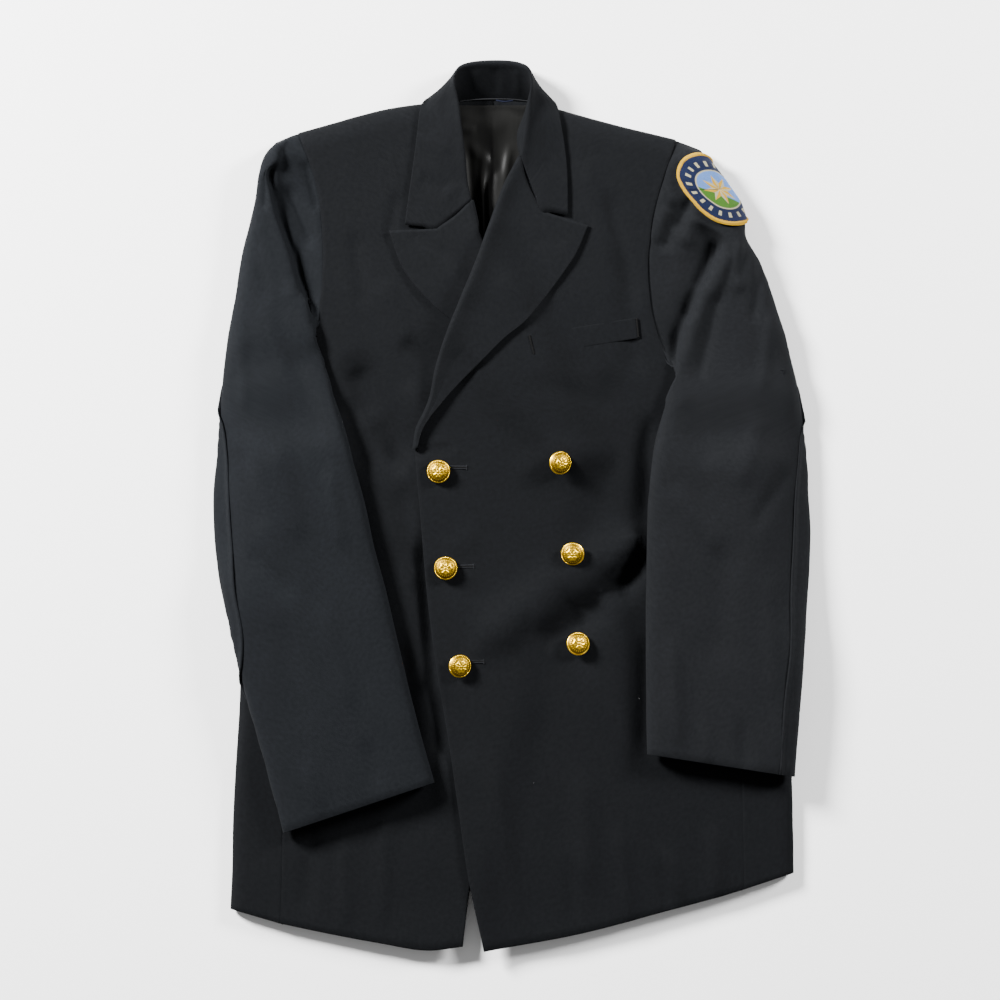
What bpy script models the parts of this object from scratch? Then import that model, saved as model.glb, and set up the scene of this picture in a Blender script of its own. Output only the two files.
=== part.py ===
"""Dress uniform jacket, double breasted, buttoned and laid flat on its back.

Units are metres, +Z is up and +Y runs towards the collar. The tables hold millimetres: x to the
viewer's right (the wearer's left), y towards the collar. Each cloth
piece is the middle surface of its wall, a grid that Solidify gives its thickness. Pieces that
are sewn together share the points of their seam, and each is drawn back from it by half a gap.
"""
import math

import bmesh
import bpy
import numpy as np

MM = 0.001

# Middle of the finished part in the tables' frame: the origin is put there, on the floor
MIDDLE = np.array((-0.250, 1.941, 0.0))

# Wall thickness of each kind of cloth piece, and the gap kept at a seam, in millimetres
BACK_WALL = 2.0
FRONT_WALL = 2.5
FACING_WALL = 1.6
SLEEVE_WALL = 1.2
LINING_WALL = 1.0
WELT_WALL = 1.2
PATCH_WALL = 1.2
PATCH_ROOM = 5.3
SEAM_GAP = 0.5
FACING_CLEAR = 1.8
LAPEL_CLEAR = 2.5
FRONT_CLEAR = 1.4
SHOULDER_GAP = 2.5
HIND_GAP = 1.3

# Gilt shank button: 35 ligne
BUTTON_DIAMETER = 22.2
BUTTON_DOME = 5.0
BUTTON_SHANK = 2.6
SHANK_RADIUS = 3.2
BUTTON_RIM = 1.1

# Round patch at the head of the wearer's left sleeve
PATCH_DIAMETER = 68.0

# Roll of the cloth over the shoulder seam and over the side, in plan
SHOULDER_ROLL = 20.0
SIDE_ROLL = 13.0

# Height of the laid body: y, the folds at the viewer's left and right, the height of the
# front cloth near the folds and along the middle
BODY_ROWS = np.array([
    # y, left fold, right fold, side height, middle height
    (-428.9, -266.5, 263.6, 9.0, 12.0),
    (-381.4, -266.5, 265.5, 9.0, 12.5),
    (-338.7, -264.6, 265.5, 10.0, 14.0),
    (-253.2, -262.7, 263.6, 11.0, 16.0),
    (-172.4, -256, 259.8, 12.0, 17.0),
    (-86.9, -256, 256, 12.5, 18.0),
    (8.1, -253.2, 252.2, 13.0, 19.0),
    (74.6, -250.3, 249.4, 13.5, 21.0),
    (129.7, -249.4, 249.4, 14.0, 23.0),
    (205.7, -249.4, 249.4, 17.0, 23.0),
    (293.1, -249.4, 249.4, 20.0, 18.0),
    (388.1, -249.4, 249.4, 20.0, 15.0),
])
UNDERARM_Y = 129.7

# Largest folds of the body: start, end, half width, height (a trough is negative)
BODY_FOLDS = (
    # x0, y0, x1, y1, half width, height
    (121.1, -20.4, -35.6, -124.9, 17, 6.0),
    (123, -45.1, 45.1, -107.8, 13, -5.0),
    (-152.5, 145.8, -102.1, 41.3, 15, -5.0),
    (-173.4, 103.1, -111.6, -48.9, 22, 3.0),
    (143.9, -324.4, 159.1, -371.9, 10, 2.0),
    (67, -248.4, 71.7, -362.4, 10, 1.6),
    (-68.9, -172.4, -40.4, -238.9, 12, -2.0),
)

# Shoulder seam as seen, from the sleeve head to the neck, for each side
SHOULDER_RIGHT = ((-201.9, 355.3), (-170.5, 364.3), (-144.9, 371.4), (-119.2, 377.6), (-79.3, 383.3),
                  (-59.4, 384.3))
SHOULDER_LEFT = ((153.4, 349.1), (121.1, 356.7), (92.6, 364.3), (64.1, 371.9), (43.2, 377.6), (23.3, 383.3))

# Armhole of each side from the shoulder seam to the underarm, then how the sleeve lies at it.
# Fold is the edge of the sleeve's long front fold and edge is its outer outline.
# Each row: armhole point, fold point, edge point
SLEEVE_HEAD_RIGHT = (
    # armhole, fold, edge
    ((-201.9, 355.3), (-213.3, 353.9), (-223.7, 346.3)),
    ((-199, 349.1), (-215.2, 346.3), (-230.4, 339.6)),
    ((-195.2, 338.7), (-220.9, 333), (-236.1, 330.1)),
    ((-189.5, 323.5), (-232.3, 317.8), (-239.9, 314.9)),
    ((-183.8, 302.6), (-229.4, 296.9), (-243.2, 295.9)),
    ((-180, 278.8), (-223.7, 276.9), (-247.5, 277.9)),
    ((-178.1, 250.3), (-214.2, 250.3), (-254.6, 250.3)),
    ((-178.6, 221.8), (-204.7, 221.8), (-259.8, 221.8)),
    ((-181, 195.2), (-196.2, 195.2), (-264.1, 195.2)),
    ((-187.6, 167.7), (-186.7, 168.6), (-268.8, 167.7)),
    ((-201.9, 148.7), (-178.1, 141.1), (-273.1, 139.2)),
    ((-221.8, 137.3), (-169.6, 114.5), (-274, 131.5)),
    ((-254.6, 133.5), (-161, 86), (-278.3, 80.3)),
)
SLEEVE_TUBE_RIGHT = (
    # seam under the sleeve, fold, edge
    ((-232.3, 98.3), (-152.5, 57.5), (-281.2, 48)),
    ((-201.9, 50.8), (-143.9, 23.3), (-284.1, 11.9)),
    ((-175.3, -6.2), (-132.5, -23.3), (-283.1, -30.9)),
    ((-158.2, -63.2), (-121.1, -70.8), (-276, -79.3)),
    ((-144.9, -111.6), (-109.7, -118.3), (-265.5, -127.8)),
    ((-133.5, -159.1), (-98.3, -165.8), (-252.2, -180)),
    ((-121.1, -208.5), (-86.9, -211.4), (-235.1, -240.8)),
    ((-106.9, -269.3), (-73.6, -258.9), (-217.1, -307.3)),
)
SLEEVE_HEAD_LEFT = (
    # armhole, fold, edge
    ((153.4, 349.1), (164.8, 345.3), (178.1, 339.6)),
    ((151.5, 342.5), (162.9, 338.7), (182.9, 333)),
    ((147.7, 331.1), (162.9, 329.2), (187.6, 325.4)),
    ((141.1, 312.1), (162, 312.1), (198.1, 312.1)),
    ((134.4, 289.3), (164.8, 289.3), (214.2, 289.3)),
    ((130.6, 272.2), (176.2, 272.2), (219.9, 273.1)),
    ((128.7, 255.1), (199, 255.1), (221.3, 256)),
    ((126.8, 234.2), (190.5, 234.2), (234.2, 234.2)),
    ((127.8, 207.6), (180, 208.5), (244.1, 208.5)),
    ((131.6, 181), (168.6, 181.9), (251.3, 186.7)),
    ((140.1, 154.4), (160.1, 154.4), (259.3, 163.9)),
    ((155.3, 131.6), (152.5, 130.6), (265.2, 140.1)),
    ((189.5, 118.3), (143.9, 103.1), (267.5, 131)),
    ((254.6, 130.6), (136.3, 72.7), (276.9, 72.7)),
)
SLEEVE_TUBE_LEFT = (
    # seam under the sleeve, fold, edge
    ((227.5, 98.3), (131.6, 44.2), (279.8, 46.1)),
    ((195.2, 50.8), (127.8, 13.8), (281.7, 12.8)),
    ((168.6, -10.9), (125.9, -29.9), (283.6, -29.9)),
    ((159.1, -72.7), (125.9, -79.3), (280.7, -81.2)),
    ((159.1, -124.9), (125.9, -129.7), (277.4, -132.5)),
    ((159.1, -180), (125.9, -181.9), (273.1, -189.5)),
    ((160.1, -237), (126.8, -232.3), (267.4, -254.1)),
)

# Side bodies from the hem up to the armhole: y at the fold, at the front seam and at the back
# seam, and how far in from the fold the seams lie
SIDE_ROWS_RIGHT = (
    # fold y, front seam y, back seam y, reach
    (-380.5, -393.8, -377.6, 46.0),
    (-338.7, -343.4, -338.7, 46.0),
    (-276.9, -276.9, -276.9, 46.0),
    (-210.4, -210.4, -210.4, 46.0),
    (-134.4, -134.4, -134.4, 46.0),
    (-58.4, -58.4, -58.4, 46.0),
    (17.6, 17.6, 17.6, 44.0),
    (79.3, 81.2, 81.2, 38.0),
    (122.1, 134.4, 134.4, 27.5),
)
SIDE_ROWS_LEFT = (
    # fold y, front seam y, back seam y, reach
    (-346.3, -361.5, -347.2, 46.0),
    (-305.4, -311.1, -305.4, 46.0),
    (-253.2, -256, -253.2, 46.0),
    (-191.4, -191.4, -191.4, 46.0),
    (-124.9, -124.9, -124.9, 46.0),
    (-53.7, -53.7, -53.7, 47.0),
    (12.8, 12.8, 12.8, 50.0),
    (74.6, 74.6, 74.6, 54.0),
    (119.2, 115.4, 115.4, 59.9),
)
SIDE_COLUMNS = (0.08, 0.2, 0.4, 0.7, 1.0)

# Hems between the seams of the side bodies, from the side to the front edge or the centre back
HEM_RIGHT = ((-220.5, -393.8), (-175.3, -403.3), (-124, -412.8), (-81.2, -419.4), (-47, -415.6))
HEM_LEFT = ((218.6, -361.5), (193.3, -369.1), (143.9, -382.4), (65.1, -403.3), (-27.1, -420.4))
HEM_BACK_RIGHT = ((-220.5, -377.6), (-125.9, -369.1), (-35.6, -361.5))
HEM_BACK_LEFT = ((218.6, -347.2), (83.1, -354.8), (-35.6, -361.5))
CENTRE_BACK = ((-35.6, -361.5), (-30.9, -181.9), (-23.3, 103.1), (-17.6, 386.6))

# Free front edges from the hem to the lapel's break, and roll lines on to the gorge. The
# wearer's right front runs on under the left one.
FRONT_EDGE_RIGHT = ((-47, -415.6), (-44.2, -391.9), (-40.4, -360.5), (-19.5, -248.4), (14.7, -86.9),
                    (57.5, 53.7))
ROLL_RIGHT = ((57.5, 53.7), (36.6, 103.1), (15.7, 155.3), (-7.1, 202.8), (-27.1, 247.5), (-31.8, 259.8),
              (-37.5, 283.6), (-39.4, 291.2))
FRONT_EDGE_LEFT = ((-27.1, -420.4), (-33.7, -388.1), (-44.6, -337.7), (-56.5, -246.5), (-71.7, -155.3),
                   (-80.3, -89.8), (-86.9, -15.7), (-87.9, 25.2), (-92.1, 55.6))
ROLL_LEFT = ((-92.1, 55.6), (-88.8, 74.6), (-81.2, 90.7), (-76.5, 103.1), (-69.8, 135.4), (-55.6, 176.2),
             (-34.7, 225.6), (-18.5, 271.2), (-5.2, 307.3), (8.1, 333))

# Edge of each turned lapel from the break to the peak, and its top edge from the roll line by the
# end of the gorge seam to the peak
LAPEL_EDGE_RIGHT = ((50.8, 57.5), (16.6, 91.7), (-15.7, 133.5), (-55.6, 176.2), (-74.6, 191.4),
                    (-91.7, 209.5), (-105.9, 230.4), (-114.5, 255.1), (-116.8, 262.7))
LAPEL_EDGE_LEFT = ((-89.8, 57.5), (-85, 74.6), (-77.4, 86.9), (-67.9, 98.3), (-54.6, 113.5), (-30.9, 137.3),
                   (-7.1, 161), (11.9, 176.2), (27.1, 194.3), (45.1, 218), (60.3, 240.8), (71.7, 267.4))
GORGE_RIGHT = ((-39.4, 291.2), (-53.7, 276.9), (-71.7, 264.6))
GORGE_LEFT = ((8.1, 333), (12.8, 310.2), (27.1, 281.7))
NOTCH_RIGHT = (-102.1, 268.4)
NOTCH_LEFT = (52.7, 276.9)

# Collar, once round the neck from the gorge on the viewer's left to the one on the right:
# seam at the stand's foot, roll line and outer edge
COLLAR_ROWS = (
    # foot x, foot y, roll x, roll y, roll height, edge x, edge y, edge height (0 lies on the front)
    (-40, 293.1, -39.4, 291.2, 22.0, -102.1, 268.4, 0.0),
    (-44.2, 308.3, -43.2, 310.2, 23.5, -98.3, 296.9, 0.0),
    (-48.9, 333, -45.1, 335.8, 25.5, -94.5, 323.5, 0.0),
    (-52.7, 355.8, -48, 362.4, 27.5, -90.7, 352, 0.0),
    (-56.5, 374.8, -50.8, 385.2, 28.5, -87.9, 375.7, 0.0),
    (-59.4, 384.3, -54.1, 401.4, 28.5, -84.5, 385.2, 0.0),
    (-52.7, 385.2, -52.7, 411.8, 27.0, -72.7, 389, 6.5),
    (-42.3, 386.2, -43.2, 417.5, 24.0, -54.6, 384.3, 1.1),
    (-17.6, 386.6, -16.6, 419.9, 22.0, -17.6, 380.5, 1.1),
    (5.2, 386.2, 6.2, 417.5, 24.0, 16.6, 383.3, 1.1),
    (16.6, 385.2, 15.7, 411.8, 27.0, 31.8, 388.1, 6.5),
    (23.3, 383.3, 17.1, 401.4, 28.5, 41.3, 382.4, 0.0),
    (12.8, 371.9, 15.7, 388.1, 28.0, 45.1, 368.1, 0.0),
    (5.2, 355.8, 13.3, 365.3, 27.0, 48.9, 347.2, 0.0),
    (5.2, 342.5, 10.4, 344.4, 24.5, 51.8, 321.6, 0.0),
    (7.5, 334.4, 8.1, 333, 22.0, 52.7, 276.9, 0.0),
)
SHOULDER_FOOT_RIGHT = 5
CENTRE_FOOT = 8
SHOULDER_FOOT_LEFT = 11

# Where the seam at the back of each sleeve lies: distance inboard of the outer edge on the top,
# or a share of the way back under the sleeve, by row
HIND_RIGHT = {
    7: -0.92, 8: -0.78, 9: -0.58, 10: -0.32, 11: -0.1, 12: 6.0, 13: 13.0,
    14: 18.0, 15: 20.0, 16: 20.0, 17: 12.0, 18: -0.04, 19: -0.08, 20: -0.12,
}
HIND_LEFT = {
    8: -0.85, 9: -0.68, 10: -0.45, 11: -0.22, 12: -0.08, 13: 5.0, 14: 10.0,
    15: 16.0, 16: 20.0, 17: 22.0, 18: 20.0, 19: 18.0, 20: 15.0,
}
SLEEVE_HEIGHT = 25.0
SLEEVE_TUBE = 13.0
SLEEVE_VALLEY = 7.0
SLEEVE_CLEAR = 1.6
PATH_STEPS = 12

# Lining that shows in the neck: left and right edges from the back neck down into the V
LINING_LEFT = ((-53.7, 382.4), (-54.6, 359.6), (-50.8, 321.6), (-44.2, 278.8), (-32.8, 234.2))
LINING_RIGHT = ((19.5, 382.4), (16.6, 359.6), (7.1, 331.1), (-4.3, 278.8), (-19.5, 234.2))
LINING_FOLDS = (
    # x0, y0, x1, y1, half width, height
    (-27.1, 340.6, -29, 240.8, 4, 2.2),
    (-11.9, 326.3, -17.6, 245.6, 5, 1.8),
    (-51.8, 361.5, -34.7, 358.6, 4, 1.6),
)

# Breast welt, its corners from the lower left round
WELT = ((20.4, 144.9), (119.2, 161), (117.3, 180.5), (15.7, 164.3))

# Buttons: centre, how far each leans in degrees, and how high its shank stands off the cloth
BUTTONS = (
    # x, y, lean about x, lean about y, lift
    (-69.8, 35.1, 3, -4, 0.8),
    (-63.2, -56.5, 0, 0, 0.8),
    (-50.8, -148.7, 6, 18, 0.8),
    (43.9, 43.2, 4, 20, 0.4),
    (57, -42.3, 12, -4, 0.8),
    (61.3, -128.3, -6, 12, 0.8),
)
PATCH_CENTRE_Y = 300.7
PATCH_INBOARD = 16.0
PATCH_RINGS = 6
PATCH_SPOKES = 24

BUTTON_SIDES = 20
FRONT_PANEL_COLUMNS = 13
LAPEL_COLUMNS = 8
ROLL_PUFF = 2.5
ROLL_REACH = 16.0
COLLAR_CLEAR = 4.0
LINING_CLEAR = 1.0


def smoothstep(t):
    t = np.clip(t, 0.0, 1.0)
    return t * t * (3.0 - 2.0 * t)


def curve(points, per_span=14):
    """Dense smooth curve through the points, which may be 2-D or 3-D."""
    p = np.array(points, float)
    step = np.maximum(np.linalg.norm(np.diff(p, axis=0), axis=1), 1e-6) ** 0.5
    slope = np.diff(p, axis=0) / step[:, None]
    tangent = np.empty_like(p)
    tangent[0], tangent[-1] = slope[0], slope[-1]
    before, after = step[:-1, None], step[1:, None]
    tangent[1:-1] = (slope[1:] * before + slope[:-1] * after) / (before + after)
    dense = []
    for i in range(len(p) - 1):
        t = np.linspace(0, 1, per_span, endpoint=False)[:, None]
        h = step[i]
        dense.append((2 * t**3 - 3 * t**2 + 1) * p[i] + (t**3 - 2 * t**2 + t) * h * tangent[i]
                     + (3 * t**2 - 2 * t**3) * p[i + 1] + (t**3 - t**2) * h * tangent[i + 1])
    return np.vstack(dense + [p[-1:]])


def lengths(points):
    return np.concatenate([[0.0], np.cumsum(np.linalg.norm(np.diff(points, axis=0), axis=1))])


def pick(points, along):
    """Points of a dense curve at the given distances along it."""
    s = lengths(points)
    return np.stack([np.interp(along, s, points[:, k]) for k in range(points.shape[1])], axis=1)


def even(points, count):
    """The curve through the points, cut into equal stretches."""
    dense = curve(points)
    return pick(dense, np.linspace(0.0, lengths(dense)[-1], count))


def join(*runs):
    """One list of points from runs that share their end points."""
    return np.vstack([np.array(runs[0])] + [np.array(run)[1:] for run in runs[1:]])


def coons(bottom, top, left, right):
    """Grid of plan points filled in between four edges of a piece."""
    u = (lengths(bottom) / lengths(bottom)[-1] + lengths(top) / lengths(top)[-1]) / 2
    v = (lengths(left) / lengths(left)[-1] + lengths(right) / lengths(right)[-1]) / 2
    u, v = u[None, :, None], v[:, None, None]
    between = (1 - v) * bottom[None] + v * top[None] + (1 - u) * left[:, None] + u * right[:, None]
    corners = ((1 - u) * (1 - v) * bottom[0] + u * (1 - v) * bottom[-1]
               + (1 - u) * v * top[0] + u * v * top[-1])
    return between - corners


def row_value(y, column):
    order = np.argsort(BODY_ROWS[:, 0])
    return np.interp(y, BODY_ROWS[order, 0], BODY_ROWS[order, column])


def folds(x, y, table):
    """Height that the folds of a table add: soft ridges and troughs that fade at their ends."""
    total = np.zeros(np.broadcast(x, y).shape)
    for x0, y0, x1, y1, half_width, height in table:
        run = math.hypot(x1 - x0, y1 - y0)
        along = ((x - x0) * (x1 - x0) + (y - y0) * (y1 - y0)) / run
        across = ((x - x0) * (y1 - y0) - (y - y0) * (x1 - x0)) / run
        fade = smoothstep(along / run / 0.25 + 0.2) * smoothstep((1 - along / run) / 0.25 + 0.2)
        total += height * np.exp(-(across / half_width) ** 2) * fade
    return total


def loft(x, y):
    """Height of the front cloth over the body, before it rolls over at the sides and shoulders."""
    left, right = row_value(y, 1), row_value(y, 2)
    t = np.clip((x - left) / (right - left), 0, 1) * 2 - 1
    side, middle = row_value(y, 3), row_value(y, 4)
    return np.maximum(side + (middle - side) * (1 - t * t) + folds(x, y, BODY_FOLDS), 6.5)


SHOULDER_LINE = np.array(SHOULDER_RIGHT + SHOULDER_LEFT[::-1])


def roll(x, y, reach=0.0):
    """1 on the flat of the body, falling to 0 at its shoulder seams and side folds."""
    neck_right, neck_left = SHOULDER_RIGHT[-1][0], SHOULDER_LEFT[-1][0]
    inside = np.maximum(np.minimum(x - neck_right, neck_left - x), 0)
    shoulder = np.interp(x, SHOULDER_LINE[:, 0], SHOULDER_LINE[:, 1]) - y + 2 * inside + reach
    above = 2 * np.maximum(y - UNDERARM_Y, 0)
    side = np.minimum(x - row_value(y, 1), row_value(y, 2) - x) + above + reach
    t = np.minimum(np.clip(shoulder / SHOULDER_ROLL, 0, 1), np.clip(side / SIDE_ROLL, 0, 1))
    return np.sqrt(np.maximum(1 - (1 - t) ** 2, 0))


def seam_height(x, y):
    return 0.5 * loft(x, y)


def front_height(x, y, reach=0.0):
    """Middle of the front cloth where it lies straight on the body."""
    low = seam_height(x, y)
    return low + (loft(x, y) - low) * roll(x, y, reach)


def back_height(x, y):
    """Middle of the back's cloth: flat on the floor, raised over the collar's edge at the neck."""
    over_collar = smoothstep((x - -76.5) / 10) * smoothstep((43.2 - x) / 10) * smoothstep((y - 344.4) / 28)
    base = BACK_WALL / 2 + 2.8 * over_collar
    return base + (seam_height(x, y) - base) * (1 - roll(x, y))


HIDDEN_FRONT = np.array(FRONT_EDGE_RIGHT + ROLL_RIGHT[1:])
HIDDEN_LAPEL = np.array(LAPEL_EDGE_RIGHT)


def overlap_rise(x, y):
    """How far the left front is lifted by the right front, and by its lapel, beneath it."""
    edge = np.interp(y, HIDDEN_FRONT[:, 1], HIDDEN_FRONT[:, 0])
    over_front = 1 - smoothstep((x - edge - 3) / 42)
    outer = np.interp(y, HIDDEN_LAPEL[:, 1], HIDDEN_LAPEL[:, 0])
    along_lapel = smoothstep((y - 17.6) / 36) * smoothstep((288.3 - y) / 25)
    over_lapel = smoothstep((x - outer + 52) / 50) * (1 - smoothstep((x - edge - 3) / 45)) * along_lapel
    return (FRONT_WALL + FRONT_CLEAR) * over_front + (FACING_WALL + ROLL_PUFF + LAPEL_CLEAR) * over_lapel


def left_front_height(x, y, reach=0.0):
    return front_height(x, y, reach) + overlap_rise(x, y)


def on_front(height):
    """Middle of a facing or collar leaf that lies on a front."""
    return lambda x, y: height(x, y) + FRONT_WALL / 2 + FACING_CLEAR + FACING_WALL / 2


def drape(plan, height):
    """Grid of 3-D points from a grid of plan points and a height."""
    return np.dstack([plan[..., 0], plan[..., 1], height(plan[..., 0], plan[..., 1])])


def draw_back(grid, first_row=0.0, last_row=0.0, first_column=0.0, last_column=0.0):
    """The grid with its edges drawn back along the cloth."""
    grid = grid.copy()
    ends = ((0, 0, first_row), (0, -1, last_row), (1, 0, first_column), (1, -1, last_column))
    for axis, end, amount in ends:
        if not amount:
            continue
        step = 1 if end == 0 else -1
        edge = np.take(grid, end, axis)
        inward = np.take(grid, end + step, axis) - edge
        moved = edge + inward * (amount / np.maximum(np.linalg.norm(inward, axis=-1, keepdims=True), 1e-3))
        if axis == 0:
            grid[end] = moved
        else:
            grid[:, end] = moved
    return grid


def principled(name, color, roughness, metallic=0.0):
    material = bpy.data.materials.new(name)
    material.use_nodes = True
    shader = material.node_tree.nodes["Principled BSDF"]
    shader.inputs["Base Color"].default_value = (*color, 1.0)
    shader.inputs["Roughness"].default_value = roughness
    shader.inputs["Metallic"].default_value = metallic
    material.diffuse_color = (*color, 1.0)
    return material


def sheet(name, grid, wall, material, collection, merge=False, without=None):
    """One cloth piece: a grid mesh placed by its points, with a Solidify wall.

    It has no cloth from the row and column given as without onwards.
    """
    rows, columns = grid.shape[:2]
    mesh = bpy.data.meshes.new(name)
    bm = bmesh.new()
    bmesh.ops.create_grid(bm, x_segments=columns - 1, y_segments=rows - 1, size=1.0)
    if without:
        beyond = [face for face in bm.faces
                  if (face.calc_center_median().y + 1) / 2 * (rows - 1) > without[0]
                  and (face.calc_center_median().x + 1) / 2 * (columns - 1) > without[1]]
        bmesh.ops.delete(bm, geom=beyond, context="FACES")
    for vert in bm.verts:
        column = round((vert.co.x + 1) / 2 * (columns - 1))
        row = round((vert.co.y + 1) / 2 * (rows - 1))
        vert.co = (grid[row, column] - MIDDLE) * MM
    if merge:
        bmesh.ops.remove_doubles(bm, verts=bm.verts, dist=0.02 * MM)
    bmesh.ops.triangulate(bm, faces=bm.faces)
    bm.to_mesh(mesh)
    bm.free()
    mesh.shade_smooth()
    mesh.materials.append(material)
    piece = bpy.data.objects.new(name, mesh)
    collection.objects.link(piece)
    solidify = piece.modifiers.new("wall", "SOLIDIFY")
    solidify.thickness = wall * MM
    solidify.offset = 0.0
    return piece


def side_seam(rows, which, fold_column, sign):
    """Points of a side body's front or back seam, from the hem up."""
    points = []
    for fold_y, front_y, back_y, reach in rows:
        y = front_y if which == "front" else back_y
        points.append((row_value(fold_y, fold_column) + sign * reach, y))
    return np.array(points)


def side_body(rows, fold_column, sign):
    """C-shaped wrap from the back seam round the side fold to the front seam."""
    grid = []
    for fold_y, front_y, back_y, reach in rows:
        fold_x = row_value(fold_y, fold_column)
        row = []
        for share in SIDE_COLUMNS[::-1]:
            x, y = fold_x + sign * reach * share, fold_y + (back_y - fold_y) * share
            row.append((x, y, back_height(x, y)))
        row.append((fold_x, fold_y, seam_height(fold_x, fold_y)))
        for share in SIDE_COLUMNS:
            x, y = fold_x + sign * reach * share, fold_y + (front_y - fold_y) * share
            row.append((x, y, front_height(x, y)))
        grid.append(row)
    return np.array(grid)


def armhole(head, count):
    """Armhole points of a body panel, from the side body's seam up to the shoulder."""
    return np.array([row[0] for row in head[:count]])[::-1]


def neck_foot(first, last):
    return np.array([row[:2] for row in COLLAR_ROWS[first:last + 1]])


def sleeve_path(head, point, fold, edge, row, valley_row, patch_room, surface):
    """Dense loop of a sleeve's cross-section, from its front seam over the top and back beneath."""
    point, fold, edge = (np.array(value) for value in (point, fold, edge))
    out = (edge - fold) / np.linalg.norm(edge - fold)
    width = np.linalg.norm(edge - fold)
    wall = SLEEVE_WALL / 2
    in_head = row < len(head)
    rounding = (0.0, 0.75, 0.95)[row] if row < 3 else 1.0
    ease = smoothstep(width / 60)

    def under(p):
        if row < len(head) - 1:
            near_edge = 1 - smoothstep((np.linalg.norm(p - edge) - 12.0) / 20.0)
            return wall + patch_room * near_edge * smoothstep(row) * smoothstep((9 - row) / 2)
        return surface(p[0], p[1]) + wall

    def body_clear(p):
        return surface(p[0], p[1]) + wall + 9.0 if len(head) - 3 < row < len(head) else 0.0

    visible = in_head and np.dot(point - fold, out) < -5.0
    crest = fold + out * (2.0 if visible else 6.0) * ease
    inner = fold + out * 0.9
    rise = SLEEVE_HEIGHT if in_head else 0.0
    if in_head:
        blend = smoothstep((row - len(head) + 4) / 4)
        top = (1 - blend) * rise + blend * (surface(*crest) + wall + SLEEVE_TUBE)
        edge_top = (1 - blend) * rise * 0.8 + blend * (under(edge) + SLEEVE_TUBE)
    else:
        top = under(crest) + SLEEVE_TUBE
        edge_top = under(edge - out * 8) + SLEEVE_TUBE * 0.9
    if in_head and not visible:
        top = max(top, surface(*point) + wall + 5.0)
    nodes = []
    if visible:
        start = front_height(*point)
        step = smoothstep((row - valley_row) / 2)
        rise_to = top - start
        valley = (1 - step) * (start + 0.5 * rise_to) + step * max(min(start, top) - SLEEVE_VALLEY, 8.0)
        crest_top = (1 - step) * (start + 0.75 * rise_to) + step * top
        foot = fold - out * 2.5
        middle = (point + foot) / 2
        nodes += [(*point, start), (*middle, (start + valley) / 2 - 0.5 * step), (*foot, valley),
                  (*crest, crest_top)]
    else:
        start = surface(*point) + wall
        heel = fold + out * float(np.clip(np.dot(point - fold, out), 0.0, 10.0))
        nodes.append((*point, start))
        for share in (0.33, 0.67, 1.0):
            p = point + (heel - point) * share
            nodes.append((*p, surface(*p) + wall))
        nodes += [(*inner, (surface(*inner) + wall + top) / 2), (*crest, top)]
    crest_index = len(nodes) - 1
    for share in (0.36, 0.7):
        p = fold + out * width * share
        low = under(p) if not in_head else (1 - smoothstep((row - len(head) + 4) / 4)) * (rise - SLEEVE_TUBE)
        if in_head:
            z = top + 1.5 - (top - edge_top) * share
        else:
            z = low + SLEEVE_TUBE + 1.0
        nodes.append((*p, max(z, body_clear(p))))
    last = edge - out * 7.0 * ease
    nodes.append((*last, max(under(last) + (edge_top - under(last)) * 0.93, body_clear(last))))
    low_edge = under(edge)
    nodes.append((*(edge - out * wall), low_edge + (edge_top - low_edge) * 0.42))
    edge_index = len(nodes) - 1
    end = point
    turn = edge - out * 7.0 * ease
    nodes.append((*turn, under(turn)))
    corner_index = 0
    if row == len(head) - 2:
        corner = np.array(head[-1][0]) - out * 1.0
        middle = (turn + corner) / 2
        nodes += [(*middle, under(middle)), (*corner, wall)]
        corner_index = len(nodes) - 1
        for share in (0.33, 0.67, 1.0):
            p = corner + (end - corner) * share
            nodes.append((*p, back_height(*p)))
    else:
        for share in (0.25, 0.5, 0.75):
            p = turn + (end - turn) * share
            nodes.append((*p, under(p)))
        nodes.append((*end, back_height(*end) if row < len(head) - 1 else surface(*end) + wall))
    nodes = np.array(nodes, float)
    if rounding < 1.0:
        middle_height = seam_height(*head[0][0])
        nodes[:, 2] = middle_height + (nodes[:, 2] - middle_height) * rounding
    dense = curve(nodes, PATH_STEPS)
    dense[:, 2] = np.maximum(dense[:, 2], wall)
    return dense, crest_index * PATH_STEPS, edge_index * PATH_STEPS, corner_index * PATH_STEPS


def stretch(dense, first, last, count, first_gap=0.0, last_gap=0.0):
    """Evenly spaced points of a dense path between two of its indices, less a gap at either end."""
    part = dense[first:last + 1]
    return pick(part, np.linspace(first_gap, lengths(part)[-1] - last_gap, count))


def hind_index(dense, edge_index, value):
    """Index of the back seam on a sleeve's path: inboard distance on the top, or share beneath."""
    s = lengths(dense)
    if value > 0:
        return int(np.argmin(np.abs(s - (s[edge_index] - value))))
    target = s[edge_index] + (s[-1] - s[edge_index]) * -value
    return int(np.argmin(np.abs(s - target)))


FRONT_COLUMNS = 6
OVER_COLUMNS = 5
TOP_COLUMNS = 14
UNDER_COLUMNS = 6
UNDERARM_COLUMNS = 4
UNDER_REACH = 28.0


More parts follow.
